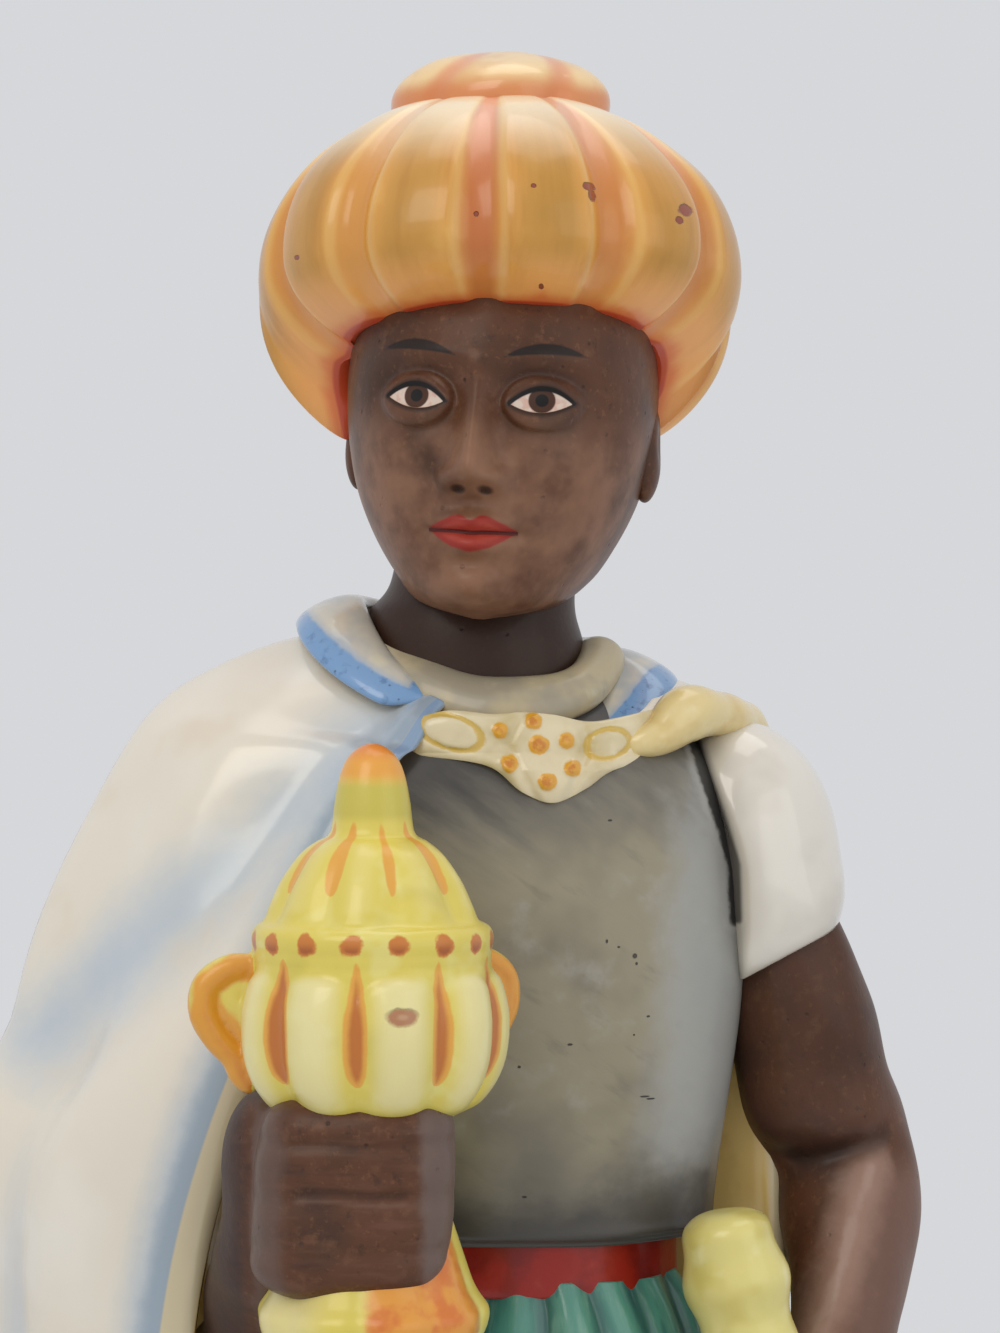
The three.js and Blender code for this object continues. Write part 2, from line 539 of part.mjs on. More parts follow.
function makeHead() {
  const turn = new THREE.Euler(0, radians(HEAD.roll), radians(HEAD.yaw));
  const place = (x, y, z) => {
    const local = new THREE.Vector3(x, y, z).multiplyScalar(PART);
    return local.applyEuler(turn).add(spot(HEAD.x, HEAD.y, HEAD.z));
  };
  const skull = solid(new THREE.SphereGeometry(1, HEAD.around, HEAD.down), (p) => {
    const share = Math.acos(clamp(p.y, -1, 1)) / Math.PI;
    const at = (column) => read(HEAD_ROWS, column, share);
    const even = Math.atan2(p.x, p.z);
    const bearing = even - 0.45 * Math.sin(even); // corners closer together on the face
    const c = Math.cos(bearing);
    const x = -at("wide") * signedPower(Math.sin(bearing), 0.92);
    const y = at("y") - (c > 0 ? at("front") : at("back")) * signedPower(c, 0.92);
    let push = 0;
    for (const pat of FACE)
      for (const side of pat.x ? [-1, 1] : [1])
        push += pat.push * bump(x - side * pat.x, pat.wide) * bump(at("z") - pat.z, pat.tall);
    return place(x, y - push * rise(0, 0.5, c), at("z"));
  });
  const lobes = [-1, 1].map((side) =>
    solid(new THREE.SphereGeometry(1, 8, 6), (p) => {
      const [x, y, z] = [p.x * EAR_LOBE.wide, -p.z * EAR_LOBE.deep, p.y * EAR_LOBE.tall];
      return place(side * EAR_LOBE.x + x, EAR_LOBE.y + y, EAR_LOBE.z + z);
    }),
  );
  return fuse([skull, ...lobes]);
}

// The turban: a ribbed dome whose lower edge runs level over the brow and drops behind the ears, under a
// ribbed knot.
const TURBAN = { y: 1, top: 302.6, waist: 278, reach: 29.1, ribs: 11, first: 4.8, ribDepth: 0.08, lift: 5.5 };
const TURBAN_EDGE = { brow: 275.8, nape: 261.4, browReach: 20.4, napeReach: 18.6 };
const TURBAN_RINGS = { shown: 7, tucked: 2 }; // rings down to the edge, and rings that close inside the head
const KNOT = { x: 0.2, y: 3.5, z: 301.6, reach: 13.2, tall: 6.4, ribs: 5, first: 40, ribDepth: 0.08 };

function makeTurban() {
  const { shown, tucked } = TURBAN_RINGS;
  const first = radians(TURBAN.first);
  return solid(new THREE.SphereGeometry(1, TURBAN.ribs * 5, shown + tucked), (p) => {
    const ring = Math.round((Math.acos(clamp(p.y, -1, 1)) / Math.PI) * (shown + tucked));
    const bearing = Math.atan2(p.x, p.z) + first;
    const brow = Math.max(Math.cos(bearing), 0) ** 0.35;
    const waist = TURBAN.waist + TURBAN.lift * brow;
    const edge = mix(TURBAN_EDGE.nape, TURBAN_EDGE.brow, brow);
    const edgeReach = mix(TURBAN_EDGE.napeReach, TURBAN_EDGE.browReach, brow);
    const angle = Math.min(ring / shown, 1) * Math.PI;
    const [s, c] = [Math.sin(angle), Math.cos(angle)];
    const ribs = TURBAN.ribDepth * crease(bearing, TURBAN.ribs, first) * rise(0, 0.5, c > 0 ? s : s + 0.35);
    const full = c > 0 ? TURBAN.reach * s : mix(edgeReach, TURBAN.reach, s ** 1.6);
    const z = c > 0 ? mix(waist, TURBAN.top, c) : mix(waist, edge, -c);
    const inside = Math.max(ring - shown, 0) / tucked;
    const reach = full * (1 - ribs) * (1 - inside);
    return spot(-reach * Math.sin(bearing), TURBAN.y - reach * Math.cos(bearing), inside ? z + 3 : z);
  });
}

function makeKnot() {
  const first = radians(KNOT.first);
  return solid(new THREE.SphereGeometry(1, KNOT.ribs * 5, 5), (p) => {
    const bearing = Math.atan2(p.x, p.z);
    const reach = KNOT.reach * (1 - KNOT.ribDepth * crease(bearing - 0.3 * p.y, KNOT.ribs, -first));
    return spot(KNOT.x + p.x * reach, KNOT.y - p.z * reach, KNOT.z + KNOT.tall * signedPower(p.y, 0.9));
  });
}

const forms = [
  makeBase(),
  ...makeShoes(),
  makeRobe(),
  makeBody(),
  makeCloak(),
  makeCollar(),
  makeNeck(),
  makeClasp(),
  makeSleeve(),
  makeLeftArm(),
  makeRightArm(),
  makeCup(),
  makeSword(),
  makeHead(),
  makeTurban(),
  makeKnot(),
];

// The casting is one solid. A pocket that closes between cloak and robe is a shell turned inside out, and
// is filled.
const figure = fuse(fuse(forms).decompose().filter((shell) => shell.volume() > 0));

// A drawable geometry from a joined solid.
function geometryOf(made) {
  const { numProp, vertProperties, triVerts } = made.getMesh();
  const corners = vertProperties.filter((_, i) => i % numProp < 3);
  const geometry = new THREE.BufferGeometry();
  geometry.setAttribute("position", new THREE.BufferAttribute(corners, 3));
  geometry.setIndex(new THREE.BufferAttribute(new Uint32Array(triVerts), 1));
  geometry.computeVertexNormals();
  return geometry;
}

const glaze = new THREE.MeshStandardMaterial({ color: 0xe1d8c4, roughness: 0.3, metalness: 0 });
const king = new THREE.Mesh(geometryOf(figure), glaze);
king.name = "king_figure";

const model = new THREE.Group();
model.add(king);
export default model;
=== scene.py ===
import bpy
import numpy as np
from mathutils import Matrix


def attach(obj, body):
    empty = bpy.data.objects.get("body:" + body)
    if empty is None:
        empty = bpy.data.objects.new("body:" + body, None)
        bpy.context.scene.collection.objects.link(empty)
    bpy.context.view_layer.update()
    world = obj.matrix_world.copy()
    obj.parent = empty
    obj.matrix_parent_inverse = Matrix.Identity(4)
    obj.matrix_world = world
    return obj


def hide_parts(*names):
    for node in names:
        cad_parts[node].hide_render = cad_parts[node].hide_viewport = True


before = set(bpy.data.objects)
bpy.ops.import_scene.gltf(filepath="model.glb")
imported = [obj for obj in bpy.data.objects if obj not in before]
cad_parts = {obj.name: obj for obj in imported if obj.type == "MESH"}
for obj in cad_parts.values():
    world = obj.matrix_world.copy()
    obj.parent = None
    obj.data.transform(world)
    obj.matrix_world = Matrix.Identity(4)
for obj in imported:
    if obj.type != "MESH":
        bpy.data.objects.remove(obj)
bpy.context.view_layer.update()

# Base. A low slab cast with the figure, the ground it stands on. It is painted in olive and brown washes,
# with a rounded rim, and left bare below where it stood in the kiln.
MM = 0.001
FAR = 9.0  # what a mark says where its stroke must not reach
BASE_HEIGHT = 12.0
FOOTING = 1.8  # how deep the shoes and the cloak stand in the base
BASE_HALF = (58.0, 44.0)
BASE_EDGE = 3.0
BASE_SQUARENESS = 0.82


def rise(low, high, value):
    """Rises smoothly from 0 at the first limit to 1 at the second."""
    t = np.clip((np.asarray(value, float) - low) / (high - low), 0, 1)
    return t * t * (3 - 2 * t)


def bump(distance, width):
    """A soft bump of height 1, all but gone at twice its width."""
    return np.exp(-((distance / width) ** 2))


def mix(a, b, share):
    """From a to b by a share of the way."""
    return a + (b - a) * share


def wrapped(angle):
    """The same angle within half a turn of 0."""
    return np.arctan2(np.sin(angle), np.cos(angle))


def signed_power(value, power):
    """A power that keeps the sign: below 1 it makes an oval squarer, above 1 leaner."""
    return np.sign(value) * np.abs(value) ** power


def read(rows, share):
    """A table's columns at shares of the way down its rows, on smooth curves through them."""
    rows = np.asarray(rows, float)
    last = len(rows) - 1
    place = np.clip(share, 0, 1) * last
    row = np.minimum(place.astype(int), last - 1)
    f = (place - row)[:, None]
    a, b, c, d = (rows[np.clip(row + step, 0, last)] for step in (-1, 0, 1, 2))
    return (b + 0.5 * f * (c - a + f * (2 * a - 5 * b + 4 * c - d + f * (3 * (b - c) + d - a)))).T


def wave(places, length):
    """The slow unevenness of hand-finished clay, from -1 to 1, in waves of about that length."""
    x, y, z = (np.asarray(places, float) * (2 * np.pi / length)).T
    first = np.sin(x + 1.3 * np.sin(0.7 * y + 0.4))
    second = np.sin(1.1 * y + 1.7 * np.sin(0.6 * z + 1.9))
    return (first + second + np.sin(0.9 * z + 1.5 * np.sin(0.8 * x + 4.1))) / 3


def places_of(piece):
    """Where the points of a piece are, in millimetres from the middle of the underside."""
    flat = np.empty(3 * len(piece.data.vertices), np.float32)
    piece.data.vertices.foreach_get("co", flat)
    return flat.reshape(-1, 3).astype(float) / MM


def press(piece, places):
    """Moves the points of a piece to these places, in millimetres."""
    piece.data.vertices.foreach_set("co", (np.asarray(places) * MM).astype(np.float32).ravel())
    piece.data.update()


def knead(piece, depth, length, where=1.0):
    """Leaves a piece slightly uneven, along its own surface's normals."""
    normals = np.empty(3 * len(piece.data.vertices), np.float32)
    piece.data.vertices.foreach_get("normal", normals)
    places = places_of(piece)
    press(piece, places + normals.reshape(-1, 3) * (depth * wave(places, length) * where)[:, None])


def ball_of_clay(name, around, down):
    """A closed ball to press into shape: the piece, with each point's bearing and share of the way down.
    A bearing is 0 at the wearer's front and a quarter turn at the wearer's right."""
    bpy.ops.object.select_all(action="DESELECT")
    bpy.ops.mesh.primitive_uv_sphere_add(segments=around, ring_count=down, radius=1)
    piece = bpy.context.object
    piece.name = piece.data.name = name
    x, y, z = (places_of(piece) * MM).T
    return piece, np.arctan2(-x, -y), np.arccos(np.clip(z, -1, 1)) / np.pi


def flat_ends(share, down):
    """Opens the ball's poles into flat ends: the share of the way down its side alone, and the reach."""
    ring = np.rint(share * down)
    return np.clip((ring - 1) / (down - 2), 0, 1), ((ring > 0) & (ring < down)).astype(float)


def paint(piece, name, values):
    """Marks each point of a piece with a number, or with three, for its paint to follow."""
    values = np.asarray(values, float)
    kind, key = ("FLOAT_VECTOR", "vector") if values.ndim == 2 else ("FLOAT", "value")
    layer = piece.data.attributes.new(name, kind, "POINT")
    layer.data.foreach_set(key, values.astype(np.float32).ravel())


def work(piece, *steps):
    """Does edit-mode steps on the whole of a piece."""
    bpy.ops.object.select_all(action="DESELECT")
    piece.select_set(True)
    bpy.context.view_layer.objects.active = piece
    bpy.ops.object.mode_set(mode="EDIT")
    bpy.ops.mesh.select_all(action="SELECT")
    for step, settings in steps:
        step(**settings)
    bpy.ops.object.mode_set(mode="OBJECT")


def apply(piece, kind, **settings):
    """Adds a modifier and applies it."""
    work(piece)
    made = piece.modifiers.new(kind.title(), kind)
    for key, value in settings.items():
        setattr(made, key, value)
    bpy.ops.object.modifier_apply(modifier=made.name)


def fire(piece, glaze):
    """Closes a piece's seams and poles, gives it its glaze, and sets it on the figure."""
    work(
        piece,
        (bpy.ops.mesh.remove_doubles, {"threshold": 0.002 * MM}),
        (bpy.ops.mesh.normals_make_consistent, {"inside": False}),
    )
    bpy.ops.object.shade_smooth()
    piece.data.materials.clear()
    piece.data.materials.append(glaze.material)
    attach(piece, "root")
    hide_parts("king_figure")


def hue(red, green, blue):
    """A paint's colour as a brush leaves it, 0 to 255 each, in the renderer's own scale."""
    parts = np.array([red, green, blue]) / 255
    linear = np.where(parts <= 0.04045, parts / 12.92, ((parts + 0.055) / 1.055) ** 2.4)
    return (*map(float, linear), 1.0)


class Glaze:
    """One region's paint under its clear glaze, as a material built stroke by stroke."""

    def __init__(self, name, ground, roughness, coat=0.0, coat_roughness=0.08, shine=0.5):
        self.material = bpy.data.materials.new(name)
        self.material.use_nodes = True
        self.tree = self.material.node_tree
        self.shader = self.tree.nodes["Principled BSDF"]
        self.shader.inputs["Roughness"].default_value = roughness
        self.shader.inputs["Specular IOR Level"].default_value = shine
        self.shader.inputs["Coat Weight"].default_value = coat
        self.shader.inputs["Coat Roughness"].default_value = coat_roughness
        self.place = self.node("ShaderNodeTexCoord").outputs["Object"]
        self.colour = hue(*ground)
        self.normal = None

    def node(self, kind, wires=None, **settings):
        """Adds a node. wires gives its inputs by name or number, as values or as other nodes' outputs."""
        made = self.tree.nodes.new(kind)
        for key, value in settings.items():
            setattr(made, key, value)
        for key, value in (wires or {}).items():
            if isinstance(value, bpy.types.NodeSocket):
                self.tree.links.new(value, made.inputs[key])
            else:
                made.inputs[key].default_value = value
        return made

    def mark(self, name):
        """The number that paint() left at each point."""
        return self.node("ShaderNodeAttribute", attribute_name=name).outputs["Fac"]

    def marks(self, name):
        """The three numbers that paint() left at each point, together."""
        return self.node("ShaderNodeAttribute", attribute_name=name).outputs["Vector"]

    def split(self, vector):
        """The three numbers of a vector, one by one."""
        return list(self.node("ShaderNodeSeparateXYZ", {0: vector}).outputs)

    def height(self):
        """How high a place is over the underside, in metres."""
        return self.split(self.place)[2]

    def sum(self, operation, *values):
        """Does a sum on numbers and on other nodes' outputs."""
        return self.node("ShaderNodeMath", dict(enumerate(values)), operation=operation).outputs[0]

    def step(self, value, low, high, under=0.0, over=1.0):
        """Runs smoothly from under to over as value goes from low to high."""
        wires = {0: value, 1: low, 2: high, 3: under, 4: over}
        return self.node("ShaderNodeMapRange", wires, interpolation_type="SMOOTHSTEP").outputs[0]

    def stretched(self, scale, vector=None, turn=(0, 0, 0)):
        """The place on the piece, or another vector, stretched and turned for a streaky pattern."""
        wires = {"Vector": vector or self.place, "Scale": scale, "Rotation": turn}
        return self.node("ShaderNodeMapping", wires).outputs[0]

    def cloud(self, size, detail=3.0, rough=0.55, vector=None, unit=MM):
        """Soft clouds about that many millimetres across, around one half."""
        wires = {"Vector": vector or self.place, "Scale": 1 / (size * unit), "Detail": detail}
        return self.node("ShaderNodeTexNoise", {**wires, "Roughness": rough}).outputs["Fac"]

    def loose(self, reach, size, detail):
        """Clouds around 0, as wide in value as reach, that loosen the edge of a stroke."""
        return self.sum("MULTIPLY", self.sum("SUBTRACT", self.cloud(size, detail), 0.5), reach)

    def pushed(self, value, cloud, reach):
        """A value that clouds push up and down, so that the edge of its stroke wanders."""
        return self.sum("MULTIPLY_ADD", self.sum("SUBTRACT", cloud, 0.5), reach, value)

    def specks(self, size, share, rough=0.5):
        """Sparse round specks about that many millimetres apart: share of them are there."""
        wires = {"Vector": self.place, "Scale": 1 / (size * MM)}
        cells = self.node("ShaderNodeTexVoronoi", wires)
        chosen = self.sum("LESS_THAN", self.split(cells.outputs["Color"])[0], share)
        near = self.step(cells.outputs["Distance"], 0.06 * rough, 0.3 * rough, 1.0, 0.0)
        return self.sum("MULTIPLY", chosen, near)

    def spots(self, places):
        """How far a place is from the nearest of some spots of the front, in their own half sizes. Each
        spot is an x and a height over the base, with its half width and half height."""
        near = FAR
        behind = self.step(self.split(self.place)[1], -0.004, 0.0, 0.0, FAR)
        for x, z, wide, tall in places:
            wires = {
                "Vector": self.place,
                "Location": (-x / wide, 0, -(z + BASE_HEIGHT) / tall),
                "Scale": (1 / (wide * MM), 0, 1 / (tall * MM)),
            }
            centred = self.node("ShaderNodeMapping", wires).outputs[0]
            away = self.node("ShaderNodeVectorMath", {0: centred}, operation="LENGTH").outputs["Value"]
            near = self.sum("MINIMUM", near, away)
        return self.sum("ADD", near, behind)

    def brush(self, colour, where, strength=1.0):
        """Lays a colour over what is there, as far as where says."""
        if strength != 1:
            where = self.sum("MULTIPLY", where, strength)
        laid = self.node("ShaderNodeMix", data_type="RGBA", blend_type="MIX")
        laid.clamp_factor = True
        for key, value in ((0, where), (6, self.colour), (7, hue(*colour))):
            if isinstance(value, bpy.types.NodeSocket):
                self.tree.links.new(value, laid.inputs[key])
            else:
                laid.inputs[key].default_value = value
        self.colour = laid.outputs[2]

    def stroke(self, colour, value, low, high, strength=1.0):
        """Lays a colour that fades in as a value goes from low to high."""
        self.brush(colour, self.step(value, low, high), strength)

    def mottle(self, colour, size, detail, low, high, strength=1.0):
        """Lays a colour in clouds of that size, fading in as they go from low to high."""
        self.stroke(colour, self.cloud(size, detail), low, high, strength)

    def dent(self, height, depth):
        """Raises the surface by up to depth millimetres where height is 1."""
        wires = {"Height": height, "Distance": depth * MM, "Strength": 1.0}
        if self.normal is not None:
            wires["Normal"] = self.normal
        self.normal = self.node("ShaderNodeBump", wires).outputs[0]

    def done(self):
        """Wires the last colour and relief to the shader."""
        if isinstance(self.colour, bpy.types.NodeSocket):
            self.tree.links.new(self.colour, self.shader.inputs["Base Color"])
        else:
            self.shader.inputs["Base Color"].default_value = self.colour
        if self.normal is not None:
            self.tree.links.new(self.normal, self.shader.inputs["Normal"])
        return self


def base_section(share):
    """The slab's section from the middle of its top round to the middle of its underside: how far out a
    ring is, how far it stands in from the rim, and its height."""
    corner = BASE_EDGE * (1 - 2**-0.5)
    rim = [(1, BASE_EDGE, BASE_HEIGHT), (1, corner, BASE_HEIGHT - corner), (1, 0, BASE_HEIGHT - BASE_EDGE)]
    foot = [(1, 0, 1.2), (1, 0.35, 0.35), (1, 1.2, 0)]
    line = [(0, BASE_EDGE, BASE_HEIGHT), *rim, *foot, (0, 1.2, 0)]
    return (np.interp(share, (0, 0.6, 0.66, 0.72, 0.8, 0.84, 0.88, 1), column) for column in zip(*line))


base, bearing, share = ball_of_clay("base", 160, 100)
out, inset, height = base_section(share)
x = -(BASE_HALF[0] - inset) * out * signed_power(np.sin(bearing), BASE_SQUARENESS)
y = -(BASE_HALF[1] - inset) * out * signed_power(np.cos(bearing), BASE_SQUARENESS)
ground = np.stack([x, y, height], 1)
ground[:, 2] -= 0.55 * (0.5 + 0.5 * wave(ground, 17)) * (share < 0.6)
press(base, ground)

glaze = Glaze("ground_glaze", (128, 122, 84), 0.42, coat=0.5, coat_roughness=0.18)
glaze.stroke((92, 84, 52), glaze.cloud(9), 0.42, 0.62)
glaze.mottle((158, 146, 98), 4.5, 5, 0.55, 0.75, 0.7)
glaze.stroke((84, 62, 40), glaze.height(), 0.0102, 0.006, 0.55)
glaze.stroke((226, 220, 208), glaze.height(), 0.0007, 0.0002)
glaze.dent(glaze.cloud(2.2, 5), 0.12)
fire(base, glaze.done())

# Shoes. The toes of two soft shoes under the hem, pressed from the same clay and painted dark brown, with a
# seam round each sole.
SHOES = [(-11, -26, -10), (11.5, -26, 10)]  # where each toe stands, and how far it turns out
SHOE = {"wide": 6.6, "long": 12.5, "tall": 6.4, "z": 3.4}


def spot(x, y, z):
    """Places of the figure, whose heights start at the top of the base, in millimetres."""
    return np.stack(np.broadcast_arrays(x, y, np.asarray(z, float) + BASE_HEIGHT), -1).astype(float)


def join(name, pieces):
    """Joins pieces into one object."""
    bpy.ops.object.select_all(action="DESELECT")
    for piece in pieces:
        piece.select_set(True)
    bpy.context.view_layer.objects.active = pieces[0]
    bpy.ops.object.join()
    pieces[0].name = pieces[0].data.name = name
    return pieces[0]


pair = []
for x0, y0, turn in SHOES:
    shoe, bearing, share = ball_of_clay("shoe", 72, 44)
    polar = share * np.pi
    up = SHOE["tall"] * signed_power(np.cos(polar), 0.8)
    side = -SHOE["wide"] * np.sin(polar) * signed_power(np.sin(bearing), 0.9)
    ahead = -SHOE["long"] * np.sin(polar) * np.cos(bearing)
    sole = rise(-0.6, -2.2, up)
    side, ahead = side * (1 + 0.05 * sole), ahead * (1 + 0.03 * sole)
    s, c = np.sin(np.radians(turn)), np.cos(np.radians(turn))
    toe = spot(x0 + side * c - ahead * s, y0 + side * s + ahead * c, SHOE["z"] + up)
    toe[:, 2] = np.maximum(toe[:, 2], BASE_HEIGHT - FOOTING)
    press(shoe, toe)
    pair.append(shoe)
shoes = join("shoes", pair)

glaze = Glaze("shoe_glaze", (74, 47, 36), 0.36, coat=0.7, coat_roughness=0.12)
glaze.mottle((108, 74, 52), 3, 4, 0.5, 0.8, 0.6)
glaze.stroke((40, 26, 22), glaze.height(), 0.0142, 0.0128, 0.8)
glaze.dent(glaze.cloud(1.6, 4), 0.08)
fire(shoes, glaze.done())

# Robe. Gathered under the belt and falling in organ-pipe pleats to the instep, carved in the mould and
# washed in a blue green that runs thin on the crowns and pools dark between the pleats, deepened there
# by painted shade.
ROBE = [
    (162, 4.6, 0, 16.6, 13.8),
    (154, 4.5, 0, 20.5, 16.5),
    (134, 4, 0, 26, 20),
    (98, 2.8, 0, 29.5, 22.5),
    (52, 1.2, 0, 32, 25.5),
    (9, 0, 0, 36, 29),
]
PLEATS = 16
PLEAT_DEPTH = 2.6
ROBE_DOWN = 110


def crease(bearing, ribs, first):
    """Rounded ribs round a turned form: 0 on the crown of a rib and 1 in the crease between two."""
    return 1 - np.sqrt(np.sin(ribs * (bearing - first) / 2) ** 2 + 0.02)


def ovals(rows, share, bearing, reach=1.0, carve=0.0, square=1.0, turn=0.0):
    """Rings of ovals whose rows each hold a height, a middle x and y, a half width and a half depth."""
    z, x, y, wide, deep = read(rows, share)
    side = -(wide + carve) * signed_power(np.sin(bearing), square) * reach
    ahead = -(deep + carve) * signed_power(np.cos(bearing), square) * reach
    s, c = np.sin(turn), np.cos(turn)
    return spot(x + side * c - ahead * s, y + side * s + ahead * c, z)


robe, bearing, share = ball_of_clay("robe", PLEATS * 18, ROBE_DOWN)
side_share, reach = flat_ends(share, ROBE_DOWN)
between = crease(bearing + 0.05 * np.sin(9 * side_share + 3 * bearing), PLEATS, 0)
small = crease(bearing + 0.04 * np.sin(7 * side_share), PLEATS * 2, 0.1)
deep = mix(0.35, 1, side_share) * PLEAT_DEPTH
carve = -deep * (between + 0.16 * small * (1 - between))
press(robe, ovals(ROBE, side_share, bearing, reach, carve))
paint(robe, "between_pleats", between)
paint(robe, "run", np.stack([np.cos(bearing) * 25, np.sin(bearing) * 25, side_share * 150], 1))
knead(robe, 0.25, 21)

glaze = Glaze("robe_glaze", (86, 154, 136), 0.34, coat=0.7, coat_roughness=0.1)
streaks = glaze.cloud(2.6, 4, vector=glaze.stretched((1, 1, 0.09), glaze.marks("run")), unit=1)
# Darker between the pleats: pooled glaze, with painted shade in the creases.
pooled_glaze_and_shade = glaze.step(glaze.mark("between_pleats"), 0.1, 0.62)
glaze.brush((50, 114, 104), pooled_glaze_and_shade, 0.85)
glaze.stroke((122, 172, 150), streaks, 0.52, 0.75, 0.75)
glaze.stroke((44, 96, 98), streaks, 0.48, 0.3, 0.6)
# Painted shade, darkest deep in the creases.
glaze.stroke((36, 78, 76), glaze.mark("between_pleats"), 0.5, 0.9, 0.5)
glaze.dent(streaks, 0.08)
glaze.dent(glaze.cloud(6, 2), 0.15)
fire(robe, glaze.done())

# Cuirass and belt. The breast and back plate are one smooth shell over the body, turned a little to the
# wearer's left, brushed in greys and darker towards its lower rim, with painted shade in black under the
# clasp and along the armhole. The belt under its flared rim is red, with painted shade along its top.
BODY_TURN = np.radians(16)
BODY_SQUARENESS = 0.84
BODY = [
    (233, -1.2, 1, 9.5, 8),
    (228, -0.3, 0.6, 20, 12.5),
    (222, 1.2, 0, 25.4, 16.3),
    (212, 2.6, 0, 27, 17.8),
    (200, 3.5, 0, 26, 17.8),
    (187, 4.5, 0, 23.8, 16.8),
    (174, 5, 0, 21.2, 15.6),
    (166.4, 5.2, 0, 19.8, 15.4),
]
# The armhole's line in the front view. Then pits and scratches in the glaze and a dark patch low down, each
# with its half width and half height.
ARMHOLE = [(23.1, 227), (24, 222.3), (25.2, 219), (26.6, 214.8), (27.9, 210.6), (28.1, 204)]
PLATE_PITS = [
    (15.7, 200.3, 0.24, 0.26),
    (15.9, 199.4, 0.13, 0.16),
    (8.1, 190.2, 0.26, 0.12),
    (2.2, 187.7, 0.16, 0.14),
    (17.3, 193.2, 0.18, 0.1),
    (2.8, 172.5, 0.24, 0.12),
    (12.4, 202.1, 0.12, 0.2),
    (13.8, 201.4, 0.14, 0.1),
    (15.6, 191.1, 0.1, 0.1),
    (12.8, 216.1, 0.22, 0.1),
    (16.9, 183.8, 0.5, 0.09),
    (17.6, 183.5, 0.45, 0.09),
]
PLATE_PATCH = (17.5, 171, 7, 6)
STRIP_TOP, STRIP_LEAN = 210, 0.1  # a light strip runs down the plate at the wearer's left, and leans
PLATE_RIM, PLATE_FLARE = (0.962, 0.985), 0.35  # where its lower rim turns in, and how far it flares
BELT = [(167.5, 4.6, 0, 16.8, 13.8), (160.2, 4.6, 0, 17, 14.2)]
PLATE_DOWN = 120
BELT_DOWN = 40


def off_line(x, z, line):
    """How far a point of the front view lies from a line between two others, and how far along it is."""
    (x0, z0), (x1, z1) = line
    along = np.clip(((x - x0) * (x1 - x0) + (z - z0) * (z1 - z0)) / ((x1 - x0) ** 2 + (z1 - z0) ** 2), 0, 1)
    return np.hypot(x - mix(x0, x1, along), z - mix(z0, z1, along)), along


def off_lines(x, z, path):
    """How far a point of the front view lies from a path through others."""
    return np.min([off_line(x, z, line)[0] for line in zip(path, path[1:])], axis=0)


def off_path(piece, path):
    """How far each point of a piece lies from a path through points of the front view, and far behind."""
    x, y, z = places_of(piece).T
    return off_lines(x, z - BASE_HEIGHT, path) + FAR * (y > 8)


plate, bearing, share = ball_of_clay("cuirass", 220, PLATE_DOWN)
side_share, reach = flat_ends(share, PLATE_DOWN)
rim = rise(*PLATE_RIM, side_share)
carve = PLATE_FLARE * bump(side_share - 0.965, 0.02) - rim
press(plate, ovals(BODY, side_share, bearing, reach, carve, BODY_SQUARENESS, BODY_TURN))
knead(plate, 0.3, 26)
paint(plate, "to_armhole", off_path(plate, ARMHOLE))
x, y, z = places_of(plate).T
paint(plate, "aside", x + STRIP_LEAN * (STRIP_TOP + BASE_HEIGHT - z))

glaze = Glaze("cuirass_glaze", (150, 142, 119), 0.5, coat=0.3, coat_roughness=0.22)
slanting = glaze.stretched((1, 1, 1), turn=(0, -0.6, 0))
brushed = glaze.cloud(2.2, 6, vector=glaze.stretched((0.22, 0.5, 1), slanting))
patches = glaze.cloud(15, 3)
glaze.stroke((122, 116, 100), patches, 0.44, 0.66, 0.8)
glaze.mottle((168, 166, 156), 7, 5, 0.54, 0.76, 0.6)
glaze.stroke((112, 107, 94), brushed, 0.44, 0.28, 0.45)
aside = glaze.pushed(glaze.mark("aside"), glaze.cloud(5, 4), 5.0)
glaze.stroke((166, 169, 168), aside, 17.0, 23.5, 0.7)
# Painted shade under the clasp, reaching further down towards the wearer's right, and dark along the rim.
across, _, height = glaze.split(glaze.place)
top = glaze.sum("MULTIPLY_ADD", across, -0.27, height)
top = glaze.pushed(top, brushed, 0.012)
glaze.stroke((102, 98, 90), top, 0.2190, 0.2310, 0.8)
glaze.stroke((50, 48, 48), top, 0.2265, 0.2365, 0.9)
rubbed = glaze.cloud(3.2, 5, vector=glaze.stretched((0.5, 0.5, 0.7)))
foot = glaze.pushed(height, rubbed, 0.007)
glaze.stroke((104, 99, 88), foot, 0.1930, 0.1830, 0.75)
glaze.stroke((54, 51, 48), foot, 0.1862, 0.1800, 0.85)
patch = glaze.sum("MULTIPLY_ADD", rubbed, 1.6, glaze.spots([PLATE_PATCH]))
glaze.stroke((66, 63, 59), patch, 2.1, 0.9, 0.65)
# Painted shade in black along the armhole, with a paler band just beside it.
loose = glaze.loose(0.8, 1.3, 4)
armhole = glaze.sum("ADD", glaze.mark("to_armhole"), loose)
glaze.stroke((176, 176, 172), armhole, 2.0, 1.2, 0.5)
glaze.stroke((38, 36, 36), armhole, 1.15, 0.6, 0.95)
pits = glaze.spots(PLATE_PITS)
glaze.stroke((34, 32, 32), pits, 1.3, 0.8, 0.9)
glaze.dent(glaze.step(pits, 1.4, 0.6), -0.2)
glaze.dent(brushed, 0.05)
glaze.dent(glaze.cloud(7, 2), 0.12)
fire(plate, glaze.done())

belt, bearing, share = ball_of_clay("belt", 160, BELT_DOWN)
side_share, reach = flat_ends(share, BELT_DOWN)
edges = 1 - (2 * side_share - 1) ** 8
carve = 0.5 * (edges - 1) - 0.12 + 0.2 * wave(np.stack([20 * bearing, 9 * side_share, bearing], 1), 14)
press(belt, ovals(BELT, side_share, bearing, reach, carve, 1.0, BODY_TURN))

